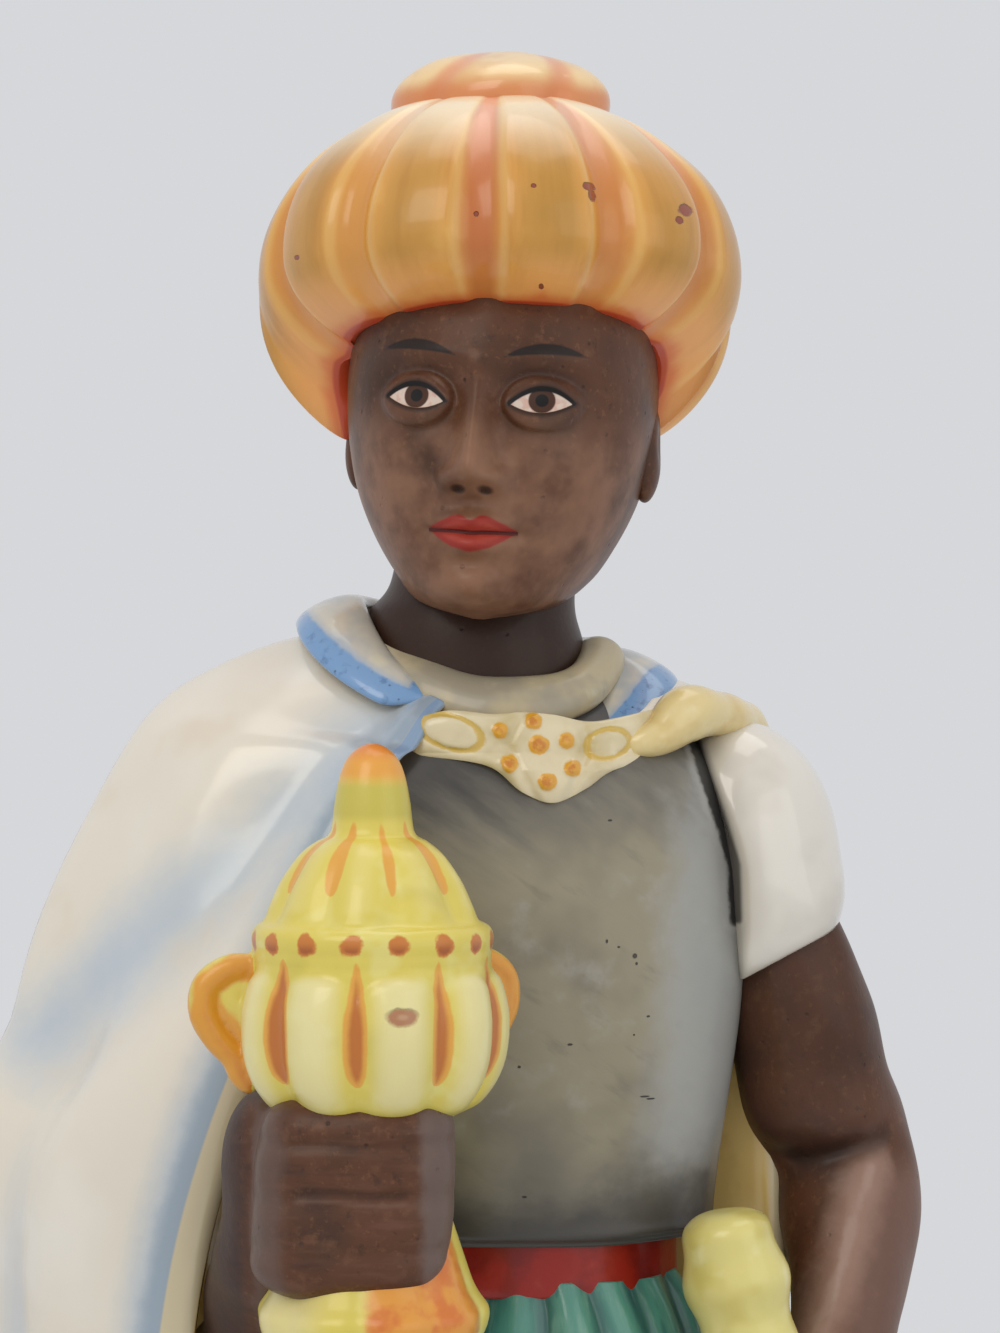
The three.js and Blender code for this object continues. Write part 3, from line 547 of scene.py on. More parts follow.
glaze = Glaze("belt_glaze", (160, 34, 22), 0.34, coat=0.3, coat_roughness=0.15, shine=0.3)
glaze.mottle((112, 22, 18), 5, 4, 0.45, 0.7, 0.7)
glaze.mottle((178, 72, 56), 3.4, 4, 0.58, 0.8, 0.5)
# Painted shade along the belt's top, under the plate's flared rim.
glaze.stroke((60, 18, 22), glaze.height(), 0.1782, 0.1794, 0.8)
glaze.dent(glaze.cloud(3, 3), 0.12)
fire(belt, glaze.done())

# Neck and head. One oval form with a calm, plain face built on it as soft pats of clay, glazed dark brown,
# with painted highlights where it stands proud and painted shade in its hollows and on the neck under the
# jaw. Eyes, brows and lips are brushed on last.
NECK = [
    (254, -1, 2, 10.6, 10.6),
    (244.4, -2, 1.8, 11.1, 10.9),
    (240.5, -3.3, 1.8, 12.4, 11.4),
    (236, -3, 1.8, 13.2, 12.2),
    (228, -2.8, 2, 13.8, 12.6),
]
NECK_DOWN = 60
HEAD = (0.3, -0.5, 264.2)
HEAD_YAW, HEAD_ROLL = np.radians(-8), np.radians(3)
HEAD_ROWS = [
    (18.5, 1, 0.5, 0.5, 0.5),
    (17.5, 0.5, 14.8, 15.8, 17.5),
    (11, 0, 17.6, 19.6, 21),
    (5, 0, 18.4, 20.9, 22),
    (0, 0, 18.4, 20.8, 21.6),
    (-5, 0, 17.8, 20.7, 20),
    (-10, 0, 16.6, 20.5, 17),
    (-15, 0, 14.4, 20.2, 13),
    (-19.5, 0, 11.5, 19.3, 8),
    (-23, -5.5, 7.6, 12, 6),
    (-24.8, -11, 0.5, 0.5, 0.5),
]
# Soft pats that build the face up, each at x and z from its middle, with its width, height and push. The
# ones off the middle come in pairs.
PATS = [
    (7.4, 1.2, 4.2, 3.2, -2.3),
    (7, 5.4, 5.2, 1.6, 0.8),
    (0, 5.6, 3.4, 2, 0.3),
    (10, -5.6, 4.4, 4.4, 0.8),
    (2.95, -8.9, 1.5, 1.5, 1.5),
    (5.0, -8.6, 0.7, 1.6, -0.45),
    (1.5, -10.1, 0.75, 0.5, -0.8),
    (0, -13.7, 4.2, 1.15, 1.45),
    (0, -16.4, 3.5, 1.25, 1.6),
    (5.5, -14.9, 0.9, 0.9, -0.45),
    (0, -18.6, 3.2, 1.0, -0.5),
    (0, -21.2, 4.1, 2.6, 1.6),
]
# Down the ridge of the nose: height on the face, how far it stands out, and its half width.
NOSE = [
    (6.5, 0.2, 2.8),
    (4, 0.8, 2.0),
    (1, 1.7, 1.7),
    (-2, 2.8, 1.8),
    (-5, 3.9, 2.1),
    (-7.4, 4.9, 2.5),
    (-8.9, 4.5, 2.7),
    (-10.2, 1.7, 2.6),
    (-11.2, 0.2, 2.4),
    (-12, 0.0, 2.4),
]
EYE = {"x": 7.3, "z": 0.2, "half": 3.6, "upper": 1.75, "lower": 1.15, "iris": 1.5}
BROW = {"x": 7.4, "z": 5.6, "half": 5.0, "thick": 0.75, "arch": 0.9, "peak": 8.2, "bend": 4.6}
MOUTH = {"z": -14.9, "half": 5.6, "upper": 1.8, "lower": 2.2}
EAR_LOBE = {"x": 17.4, "y": 2, "z": -3.7, "wide": 1.9, "deep": 3.4, "tall": 6}


def head_place(x, y, z):
    """A place given from the middle of the head, with the head's tilt and turn."""
    s, c = np.sin(HEAD_YAW), np.cos(HEAD_YAW)
    x, y = x * c - y * s, x * s + y * c
    s, c = np.sin(HEAD_ROLL), np.cos(HEAD_ROLL)
    return spot(HEAD[0] + x * c + z * s, HEAD[1] + y, HEAD[2] - x * s + z * c)


def eye_opening(x, z):
    """How far inside the opening between the lids a place is: below the upper one, and above the lower."""
    u = (x - EYE["x"]) / EYE["half"]
    middle = EYE["z"] + 0.25 * u
    return middle + EYE["upper"] * (1 - u**2) - z, z - middle + EYE["lower"] * (1 - u**2)


def lip_edges(x):
    """The upper edge of the upper lip, the line of the mouth and the lower edge of the lower lip."""
    line = MOUTH["z"] + 0.1 * (x / MOUTH["half"]) ** 2 - 0.12 * bump(x, 1.1)
    bow = 0.3 * bump(x - 1.7, 1.2) - 0.35 * bump(x, 0.8)
    upper = line + MOUTH["upper"] * (1 - (x / MOUTH["half"]) ** 2) + bow * (x < MOUTH["half"])
    return upper, line, line - MOUTH["lower"] * (1 - (x / (0.9 * MOUTH["half"])) ** 2)


def face_relief(x, z):
    """How far the face stands out at x, mirrored, and z."""
    x = np.abs(x)
    push = np.zeros_like(x)
    for px, pz, wide, tall, by in PATS:
        push += by * bump(x - px, wide) * bump(z - pz, tall) * (1 if px else 0.5)
        push += by * bump(x + px, wide) * bump(z - pz, tall) * (1 if px else 0.5)
    down = np.interp(z, [row[0] for row in NOSE][::-1], np.arange(len(NOSE))[::-1]) / (len(NOSE) - 1)
    _, out, half = read(NOSE, down)
    push += out * bump(x, half)
    below, above = eye_opening(x, z)
    ball = np.maximum(0, 1 - ((x - EYE["x"]) / 4.9) ** 2 - ((z - EYE["z"]) / 3.6) ** 2)
    push += 2.2 * np.sqrt(ball) * rise(0, 0.35, ball)
    open_by = np.minimum(below, above)
    push += 0.34 * rise(0.12, -0.12, open_by) * rise(-2.6, -0.3, open_by)
    push -= 0.3 * bump(below + 1.25, 0.32) * rise(1.25, 0.8, np.abs(x - EYE["x"]) / EYE["half"])
    _, line, _ = lip_edges(x)
    push -= 0.6 * bump(z - line, 0.32) * rise(5.9, 4.6, x)
    push -= 0.3 * bump(x, 0.8) * rise(-13.3, -12.4, z) * rise(-10.4, -11.2, z)
    return push


neck, bearing, share = ball_of_clay("neck", 120, NECK_DOWN)
side_share, reach = flat_ends(share, NECK_DOWN)
press(neck, ovals(NECK, side_share, bearing, reach))

head, even, share = ball_of_clay("head", 260, 190)
bearing = even - 0.45 * np.sin(even)
z, middle, wide, front, back = read(HEAD_ROWS, share)
c = np.cos(bearing)
x = -wide * signed_power(np.sin(bearing), 0.92)
y = middle - np.where(c > 0, front, back) * signed_power(c, 0.92)
y -= face_relief(x, z) * rise(0, 0.5, c)
press(head, head_place(x, y, z))
below, above = eye_opening(np.abs(x), z)
upper, line, lower = lip_edges(np.abs(x))
arch = BROW["z"] + BROW["arch"] * (1 - ((np.abs(x) - BROW["peak"]) / BROW["bend"]) ** 2)
brow = BROW["thick"] * (1 - ((np.abs(x) - BROW["x"]) / BROW["half"]) ** 2) - np.abs(z - arch)
paint(head, "face", np.stack([x, z, rise(0, 0.4, c)], 1))
paint(head, "eye_open", np.minimum(below, above) + FAR * np.minimum(c, 0))
paint(head, "upper_lid", below + FAR * np.minimum(c, 0))
paint(head, "iris", np.hypot(np.abs(x) - EYE["x"], z - EYE["z"] - 0.35) + FAR * (c < 0))
paint(head, "brow", brow + FAR * np.minimum(c, 0))
paint(head, "lips", np.minimum(upper - z, z - lower) + FAR * np.minimum(c, 0))
paint(head, "mouth_line", np.abs(z - line) + FAR * rise(5.2, 6.0, np.abs(x)) + FAR * (c < 0))
paint(head, "nostril", np.hypot(np.abs(x) - 1.6, (z + 10.1) / 0.55) + FAR * (c < 0))
paint(head, "proud", face_relief(x, z) * rise(0, 0.5, c))
ears = []
for hand in (-1, 1):
    ear, bearing, share = ball_of_clay("ear", 40, 30)
    polar = share * np.pi
    hollow = 1 - 0.35 * bump(np.cos(polar) - 0.2, 0.4) * bump(np.cos(bearing), 0.5)
    x = -np.sin(polar) * np.sin(bearing) * EAR_LOBE["wide"] * hollow + hand * EAR_LOBE["x"]
    y = -np.sin(polar) * np.cos(bearing) * EAR_LOBE["deep"] + EAR_LOBE["y"]
    press(ear, head_place(x, y, np.cos(polar) * EAR_LOBE["tall"] + EAR_LOBE["z"]))
    for name in ("eye_open", "upper_lid", "brow", "lips"):
        paint(ear, name, np.full(len(x), -FAR))
    for name in ("iris", "mouth_line", "nostril"):
        paint(ear, name, np.full(len(x), FAR))
    ears.append(ear)
head = join("head", [head, *ears])


def skin(name):
    """The dark brown glaze of head, neck and arms: mottled, rubbed lighter in places, with fine pits."""
    glaze = Glaze(name, (92, 57, 38), 0.44, coat=0.12, coat_roughness=0.2, shine=0.25)
    glaze.mottle((66, 44, 33), 11, 3, 0.45, 0.68, 0.75)
    glaze.stroke((116, 80, 56), glaze.cloud(2.4, 6, 0.65), 0.52, 0.72, 0.55)
    glaze.stroke((134, 94, 62), glaze.cloud(0.9, 4, 0.6), 0.58, 0.72, 0.35)
    glaze.stroke((50, 34, 29), glaze.cloud(1.3, 5, 0.6), 0.42, 0.28, 0.5)
    pits = glaze.specks(2.4, 0.35)
    glaze.brush((34, 24, 22), pits, 0.8)
    glaze.dent(glaze.cloud(1.1, 4), 0.05)
    glaze.dent(pits, -0.12)
    return glaze


glaze = skin("face_glaze")
_, face_z, ahead = glaze.split(glaze.marks("face"))
proud = glaze.mark("proud")
# Painted highlights in clouds where the face stands proud, and painted shade in its hollows.
glaze.brush((134, 95, 68), glaze.sum("MULTIPLY", glaze.step(proud, 0.6, 3.6), glaze.cloud(1.6, 5)), 0.75)
glaze.stroke((54, 42, 41), proud, -0.1, -1.3, 0.55)
# A painted highlight in clouds over the lower face.
rubbed = glaze.sum("MULTIPLY", glaze.step(face_z, 1.0, -7.0), glaze.step(ahead, 0.2, 0.8))
glaze.brush((148, 108, 84), glaze.sum("MULTIPLY", rubbed, glaze.step(glaze.cloud(6, 3), 0.2, 0.7)), 0.8)
eye = glaze.mark("eye_open")
glaze.stroke((38, 27, 25), eye, -0.75, -0.15, 0.75)
glaze.stroke((222, 203, 188), eye, 0.0, 0.12)
iris = glaze.mark("iris")
inside = glaze.step(eye, 0.0, 0.1)
blush = glaze.sum("MULTIPLY", inside, glaze.step(glaze.cloud(1.2, 2), 0.46, 0.62))
glaze.brush((206, 150, 134), blush, 0.5)
round_iris = glaze.step(iris, EYE["iris"] + 0.1, EYE["iris"] - 0.1)
glaze.brush((72, 44, 30), glaze.sum("MULTIPLY", round_iris, inside))
glaze.brush((16, 12, 12), glaze.sum("MULTIPLY", glaze.step(iris, 0.85, 0.65), inside))
line = glaze.sum("MULTIPLY", glaze.step(glaze.mark("upper_lid"), 0.42, 0.22), glaze.step(eye, -0.35, -0.2))
glaze.brush((24, 17, 17), line)
glaze.stroke((30, 22, 21), glaze.mark("brow"), -0.05, 0.25, 0.95)
lips = glaze.sum("ADD", glaze.mark("lips"), glaze.sum("MULTIPLY", glaze.cloud(1.2, 3), 0.3))
glaze.stroke((152, 44, 36), lips, 0.0, 0.35, 0.95)
glaze.brush((186, 78, 62), glaze.sum("MULTIPLY", glaze.step(lips, 0.55, 1.2), glaze.cloud(1.5, 3)), 0.8)
glaze.stroke((70, 20, 20), glaze.mark("mouth_line"), 0.34, 0.12, 0.9)
# Painted shade in the nostrils.
glaze.stroke((26, 18, 18), glaze.mark("nostril"), 1.2, 0.5, 0.8)
fire(head, glaze.done())

glaze = skin("neck_glaze")
# Painted shade on the neck, under the jaw.
glaze.stroke((44, 28, 21), glaze.height(), 0.2670, 0.2540, 0.85)
fire(neck, glaze.done())

# Shirt neckband. A soft rolled band of the shirt round the neck, modelled on the casting and washed in a
# warm grey, with painted shade under its roll and on its inner side against the neck.
NECKBAND = {"x": -1, "y": 0.4, "z": 236.2, "wide": 13, "deep": 12.6, "slope": 0.5, "lean": 0.1}
NECKBAND_OUT, NECKBAND_UP = 2.7, 2.6

bpy.ops.object.select_all(action="DESELECT")
bpy.ops.mesh.primitive_torus_add(major_segments=180, minor_segments=40, major_radius=3, minor_radius=1)
neckband = bpy.context.object
neckband.name = neckband.data.name = "shirt_neckband"
x, y, z = (places_of(neckband) * MM).T
bearing = np.arctan2(y, x)
away = np.hypot(x, y) - 3
out = NECKBAND_OUT * (away + 0.1 * away * np.sin(3 * bearing + 1))
x1 = (NECKBAND["wide"] + out) * np.cos(bearing)
y1 = (NECKBAND["deep"] + out) * np.sin(bearing)
z1 = NECKBAND["z"] + NECKBAND_UP * z + NECKBAND["slope"] * np.minimum(y1, 0) - NECKBAND["lean"] * x1
press(neckband, spot(NECKBAND["x"] + x1, NECKBAND["y"] + y1, z1))
paint(neckband, "roll", z)
paint(neckband, "inward", -away)
knead(neckband, 0.3, 15)

glaze = Glaze("shirt_glaze", (188, 174, 138), 0.36, coat=0.5, coat_roughness=0.12)
glaze.mottle((150, 142, 126), 9, 3, 0.4, 0.65, 0.8)
glaze.mottle((206, 198, 170), 5, 4, 0.55, 0.8, 0.7)
# Painted shade under the roll, and on the inner side against the neck.
glaze.stroke((112, 104, 96), glaze.mark("roll"), -0.35, -0.95, 0.8)
glaze.stroke((92, 82, 76), glaze.mark("inward"), 0.55, 0.95, 0.7)
glaze.dent(glaze.cloud(3, 4), 0.06)
fire(neckband, glaze.done())

# Cloak. It hangs from the shoulders and over the right arm to the base, thick at its free edges and one
# with the body behind. The glaze is cream, airbrushed blue in the hollows and edged in blue, with a straw
# lining.
# Down the cloak: height, its dip at the wearer's left and its fall in front, its reach to the right, left,
# front and back, and the bearings of its two free edges.
CLOAK = [
    (238.5, 6, 6.8, 16, 19, 16.5, 13, 30, 302),
    (237.5, 5.8, 7.6, 25, 23, 18.5, 17, 25, 286),
    (234.5, 6, 7.5, 34, 29, 20.5, 20, 22.5, 268),
    (229, 3, 5, 41.5, 31.5, 23, 21.5, 22.5, 262),
    (218, 0, 2.5, 48, 33, 25.5, 22.5, 26, 260),
    (201, 0, 0.5, 56, 34, 31, 23.5, 30, 259),
    (180, 0, 0, 63.5, 35, 34, 24.5, 34.8, 258),
    (158, 0, 0, 65, 36, 32, 26, 39.5, 258),
    (126, 0, 0, 62, 37, 29, 29, 44, 258),
    (84, 0, 0, 57.5, 38.5, 27, 33, 47, 258),
    (40, 0, 0, 53.5, 40, 26, 36, 49, 258),
    (0, 0, 0, 52, 41, 26, 38, 50, 258),
]
CLOAK_EDGE, CLOAK_FILL = 4.2, 22
CLOAK_FOLDS, FOLD_DEPTH = 10, 3.2
PULL = ((-14, 226.5), (-55, 189.5))
PULL_WIDTH, PULL_DEPTH = 8, 4.5


def slab_of_clay(name, *counts):
    """A closed block of unit size, cut into that many parts along X, Y and Z (101 at most), to press into
    shape."""
    bpy.ops.object.select_all(action="DESELECT")
    bpy.ops.mesh.primitive_cube_add(size=1)
    piece = bpy.context.object
    piece.name = piece.data.name = name
    bpy.context.tool_settings.mesh_select_mode = (False, True, False)
    for axis, count in enumerate(counts):
        mesh = piece.data
        ends = np.empty(2 * len(mesh.edges), np.int32)
        mesh.edges.foreach_get("vertices", ends)
        span = np.abs(np.diff(places_of(piece)[ends.reshape(-1, 2)], axis=1)[:, 0])
        along = (span[:, axis] > 1e-3) & (np.delete(span, axis, 1).max(1) < 1e-3)
        mesh.vertices.foreach_set("select", np.zeros(len(mesh.vertices), bool))
        mesh.polygons.foreach_set("select", np.zeros(len(mesh.polygons), bool))
        mesh.edges.foreach_set("select", along)
        if count > 1:
            bpy.ops.object.mode_set(mode="EDIT")
            bpy.ops.mesh.subdivide(number_cuts=count - 1)
            bpy.ops.object.mode_set(mode="OBJECT")
    return piece, *(places_of(piece) * MM).T


def cloak_place(across, down, inward):
    """A point of the cloak: across runs from its right front edge to its left edge, down from neck to hem,
    and inward from its face to its lining."""
    z, dip, fall, right, left, front, back, start, stop = read(CLOAK, down)
    bearing = np.radians(mix(start, stop, across))
    s, c = np.sin(bearing), np.cos(bearing)
    lean = np.where((c > 0) & (s > 0), 1.12, 1)
    x = -np.where(s > 0, right, left) * signed_power(s, lean)
    y = -np.where(c > 0, front, back) * signed_power(c, lean)
    z = z - dip * (1 - s) / 2 - fall * rise(-0.2, 1, c)
    pull = PULL_DEPTH * rise(0, 0.07, across) * bump(off_line(x, z, PULL)[0], PULL_WIDTH)
    pulled = np.where(s > 0, pull * rise(-0.35, 0.05, c), 0)
    loose = rise(0.12, 0.8, down) * rise(0.02, 0.14, across) * (1 - rise(0.9, 1, across))
    fold = FOLD_DEPTH * loose * np.cos(CLOAK_FOLDS * (bearing - np.pi / 2) + 1.5 * down)
    edge = CLOAK_EDGE * mix(0.45, 1, rise(0.36, 0.55, down))
    thick = inward * (edge + CLOAK_FILL * np.sin(np.pi * np.clip(across, 0, 1)) ** 0.8)
    reach = np.hypot(x, y)
    share = (reach + fold - pulled - np.minimum(thick, 0.8 * reach)) / reach
    return spot(x * share, y * share, z - 0.6 * thick * (1 - rise(0, 0.4, down)))


cloak, x, y, z = slab_of_clay("cloak", 101, 4, 101)
across, inward, down = x + 0.5, y + 0.5, 0.5 - z
rim = 0.012 * np.sin(np.pi * inward)
rounded = np.where(across < 1e-4, -rim, np.where(across > 1 - 1e-4, 1 + rim, across))
places = cloak_place(rounded, down, inward)
places[:, 2] = np.maximum(places[:, 2], BASE_HEIGHT - FOOTING)
press(cloak, places)
flat = cloak_place(across, down, 0 * down)
to_edge = [np.linalg.norm(flat - cloak_place(0 * down + end, down, 0 * down), axis=1) for end in (0, 1)]
to_pull = off_line(places[:, 0], places[:, 2] - BASE_HEIGHT, PULL)[0]
start, stop = read(CLOAK, down)[7:]
bearing = np.radians(mix(start, stop, across))
paint(cloak, "to_edge", np.minimum(to_edge[0], to_edge[1] + FAR * rise(0.3, 0.22, down)))
paint(cloak, "inward", inward)
paint(cloak, "to_pull", to_pull + 40 * (bearing > 1.9))
folds = 0.5 - 0.5 * np.cos(CLOAK_FOLDS * (bearing - np.pi / 2) + 1.5 * down)
paint(cloak, "hollow", rise(0.12, 0.8, down) * folds)
knead(cloak, 0.35, 34, where=(inward < 0.4) * 1.0)

glaze = Glaze("cloak_glaze", (232, 224, 208), 0.26, coat=0.9, coat_roughness=0.14)
glaze.mottle((240, 236, 226), 26, 2, 0.5, 0.7, 0.7)
glaze.mottle((222, 205, 180), 16, 3, 0.56, 0.78, 0.5)
misty = glaze.loose(7.0, 8, 3)
to_pull = glaze.sum("ADD", glaze.mark("to_pull"), misty)
glaze.stroke((194, 205, 214), to_pull, 9.0, 0.5, 0.75)
glaze.stroke((158, 184, 212), to_pull, 4.0, -1.0, 0.25)
glaze.stroke((184, 198, 212), glaze.mark("hollow"), 0.6, 1.0, 0.75)
height = glaze.height()
to_edge = glaze.mark("to_edge")
loose = glaze.loose(1.6, 2.5, 4)
rough_edge = glaze.sum("ADD", to_edge, loose)
glaze.stroke((176, 191, 204), rough_edge, 7.5, 1.8, 0.75)
glaze.stroke((138, 158, 176), rough_edge, 3.6, 1.0, 0.75)
inward = glaze.mark("inward")
glaze.stroke((210, 196, 160), inward, 0.015, 0.05)
high = glaze.sum("MULTIPLY", glaze.step(inward, 0.015, 0.05), glaze.step(height, 0.206, 0.222))
glaze.brush((124, 158, 196), high, 0.9)
lining = glaze.step(inward, 0.4, 0.7)
glaze.brush((212, 180, 108), lining)
glaze.brush((168, 130, 64), glaze.sum("MULTIPLY", lining, glaze.step(glaze.cloud(9, 3), 0.4, 0.65)), 0.8)
glaze.dent(glaze.cloud(9, 2), 0.25)
glaze.dent(glaze.specks(7, 0.3), -0.06)
fire(cloak, glaze.done())

# Collar. The cloak's broad collar slopes round the neck and stays open over the clasp. Its face is cream
# and grey, with a blue border brushed along the outer edge, full of small pits.
COLLAR = {"x": -1.9, "y": 2.5, "z": 236.6, "wide": 18.6, "deep": 16, "half": 5.2, "thick": 1.9}
COLLAR_SLOPE = np.radians(20)
COLLAR_FROM, COLLAR_TO, COLLAR_DROP, COLLAR_LEAN = 20, 315, 9.1, 0.18
COLLAR_TIP, COLLAR_SIDE, COLLAR_HANG = 0.5, 0.85, 3.5
LAPEL_OUT, LAPEL_DOWN = 1.4, 1.8
COLLAR_DOWN = 240

collar, bearing, share = ball_of_clay("collar", 56, COLLAR_DOWN)
side_share, reach = flat_ends(share, COLLAR_DOWN)
run = np.radians(mix(COLLAR_FROM, COLLAR_TO, side_share))
end = np.sqrt(np.maximum(0.05, 1 - np.abs(2 * side_share - 1) ** 8)) * reach
half = mix(mix(COLLAR_TIP, COLLAR_SIDE, rise(0, 0.2, side_share)), 1, rise(0.3, 0.7, side_share))
flat = COLLAR["half"] * half * end * np.cos(bearing)
full = COLLAR["thick"] * end * np.sin(bearing)
lapel = rise(0, 0.05, side_share) * rise(0.22, 0.08, side_share) * np.maximum(np.cos(bearing), 0) ** 2
out = flat * np.cos(COLLAR_SLOPE) + full * np.sin(COLLAR_SLOPE) + LAPEL_OUT * lapel
up = full * np.cos(COLLAR_SLOPE) - flat * np.sin(COLLAR_SLOPE) - LAPEL_DOWN * lapel
x = COLLAR["x"] - COLLAR["wide"] * np.sin(run)
drop = COLLAR_DROP * np.maximum(np.cos(run), 0) ** 2 + COLLAR_HANG * rise(0.82, 1, side_share)
z = COLLAR["z"] - COLLAR_LEAN * x - drop
y = COLLAR["y"] - COLLAR["deep"] * np.cos(run)
press(collar, spot(x - out * np.sin(run), y - out * np.cos(run), z + up))
from_edge = COLLAR["half"] * (1 - np.cos(bearing)) - 2.6 * rise(0.8, 0.93, side_share)
paint(collar, "to_edge", from_edge + 6 * (np.sin(bearing) < -0.3))
paint(collar, "to_end", np.minimum(side_share, 1 - side_share) * np.radians(COLLAR_TO - COLLAR_FROM) * 18)
knead(collar, 0.35, 16)

glaze = Glaze("collar_glaze", (214, 208, 192), 0.28, coat=0.9, coat_roughness=0.07)
glaze.mottle((180, 186, 188), 8, 3, 0.4, 0.62, 0.9)
glaze.mottle((226, 218, 190), 6, 3, 0.58, 0.78, 0.6)
rough_edge = glaze.loose(0.6, 1.8, 4)
to_edge = glaze.sum("ADD", glaze.mark("to_edge"), rough_edge)
glaze.stroke((150, 174, 204), to_edge, 3.6, 2.0, 0.6)
border = glaze.sum("MAXIMUM", glaze.step(to_edge, 2.5, 1.9), glaze.step(glaze.mark("to_end"), 2.2, 1.6))
glaze.brush((114, 158, 206), border, 0.95)
glaze.brush((84, 124, 172), glaze.sum("MULTIPLY", border, glaze.step(glaze.cloud(1.4, 4), 0.52, 0.7)), 0.8)
pits = glaze.specks(1.5, 0.5)
glaze.brush((60, 78, 108), glaze.sum("MULTIPLY", border, pits), 0.8)
glaze.dent(glaze.sum("MULTIPLY", border, pits), -0.12)
glaze.dent(glaze.cloud(3, 4), 0.08)
fire(collar, glaze.done())

# Clasp and shoulder cloth. A strap with a boss of flowers in its middle holds the cloak across the chest,
# in low relief, cream with yellow rings and dots. From its end the straw-coloured cloth runs back over
# the left shoulder.
CLASP = [
    (-10.4, 225.6, 2.2),
    (-6, 226.1, 2.8),
    (-1, 225.4, 3.1),
    (2.5, 224.1, 4.6),
    (6.2, 223.3, 5.1),
    (10, 223.7, 3.9),
    (13.3, 224.9, 3),
    (19.5, 226.4, 2.9),
]
CLASP_RELIEF, CLASP_ROOT, CLASP_UPRIGHT = 2, 5.5, 224
CLASP_RINGS = [(-5.7, 226.4, 3.7, 1.9, -0.3), (12.6, 225.0, 2.6, 1.7, 0.2)]  # x, z, half sizes, tilt
BOSS_SIDES, BOSS_Z = [(0.9, 0.5), (10.4, -0.4)], 225  # the grooves beside the boss, and how each bends
CLASP_DOTS = [
    (3.9, 227.7, 0.95),
    (0.0, 226.6, 0.85),
    (4.5, 224.9, 1.1),
    (7.7, 225.4, 0.85),
    (1.1, 222.8, 0.95),
    (8.4, 222.2, 0.9),
    (5.5, 220.7, 1.0),
]
SHOULDER_CLOTH = [
    (14.5, -10.5, 224.6, 2.2),
    (18.6, -9, 225.7, 2.4),
    (21.8, -6.5, 228.2, 3.3),
    (25, -2.5, 228.4, 2.9),
    (28, 2.5, 227.7, 2.6),
    (30.2, 8, 226, 2.8),
    (33, 16, 218, 3.2),
]


def limb(joints, bearing, share, blunt=6, flat=(1.0, 1.0)):
    """A limb along a smooth path through joints, each a place and a radius, with rounded ends."""
    along = (1 - np.cos(np.pi * share)) / 2
    *path, radius = read(joints, along)
    path = np.stack(path, 1)
    after, before = (np.stack(read(joints, np.clip(along + d, 0, 1))[:3], 1) for d in (0.002, -0.002))
    ahead = (after - before) / np.linalg.norm(after - before, axis=1)[:, None]
    side = np.cross((0.3, 1, 0.1), ahead)
    side /= np.linalg.norm(side, axis=1)[:, None]
    up = np.cross(ahead, side)
    full = radius * np.sqrt(np.maximum(0, 1 - np.abs(2 * along - 1) ** blunt))
    out = side * (full * flat[0] * np.cos(bearing))[:, None]
    out += up * (full * flat[1] * np.sin(bearing))[:, None]
    return spot(*(path + out).T)


def body_front(x, z):
    """Where the front of the cuirass stands at a point of the front view."""
    rows = np.array(BODY)
    middle, wide, deep = (np.interp(z, rows[::-1, 0], rows[::-1, column]) for column in (1, 3, 4))
    s, c = np.sin(BODY_TURN), np.cos(BODY_TURN)
    a = (s / wide) ** 2 + (c / deep) ** 2
    b = (x - middle) * c * s * (1 / wide**2 - 1 / deep**2)
    k = (x - middle) ** 2 * ((c / wide) ** 2 + (s / deep) ** 2) - 1
    return (-b - np.sqrt(np.maximum(b * b - a * k, 0))) / a


def ring_field(x, z):
    """How far a point of the clasp is from the line of the nearer ring."""
    near = np.full(len(x), FAR)
    for x0, z0, wide, tall, tilt in CLASP_RINGS:
        u = ((x - x0) * np.cos(tilt) + (z - z0) * np.sin(tilt)) / wide
        v = ((z - z0) * np.cos(tilt) - (x - x0) * np.sin(tilt)) / tall
        near = np.minimum(near, np.abs(np.hypot(u, v) - 1) * np.sqrt(wide * tall))
    return near


clasp, x, y, z = slab_of_clay("clasp", 101, 5, 84)
middle_x, middle_z, half = read(CLASP, x + 0.5)
height = middle_z + 2 * z * half
dots = np.min([np.hypot(middle_x - px, height - pz) - r for px, pz, r in CLASP_DOTS], axis=0)
rings = ring_field(middle_x, height)
relief = CLASP_RELIEF * (1 - np.abs(2 * z) ** 4 / 2) * (1 - 0.5 * np.abs(2 * x) ** 14)
relief += 0.4 * rise(0.35, -0.45, dots) - 0.25 * bump(rings, 0.4)
for at, bend in BOSS_SIDES:
    relief -= 0.4 * bump(middle_x - at - bend * np.abs(height - BOSS_Z), 0.7) * (np.abs(x) < 0.45)
front = 0.5 - y
chest = body_front(middle_x, np.minimum(height, CLASP_UPRIGHT))
press(clasp, spot(middle_x, chest + CLASP_ROOT * (1 - front) - relief * front, height))
paint(clasp, "dots", dots)
paint(clasp, "rings", rings)

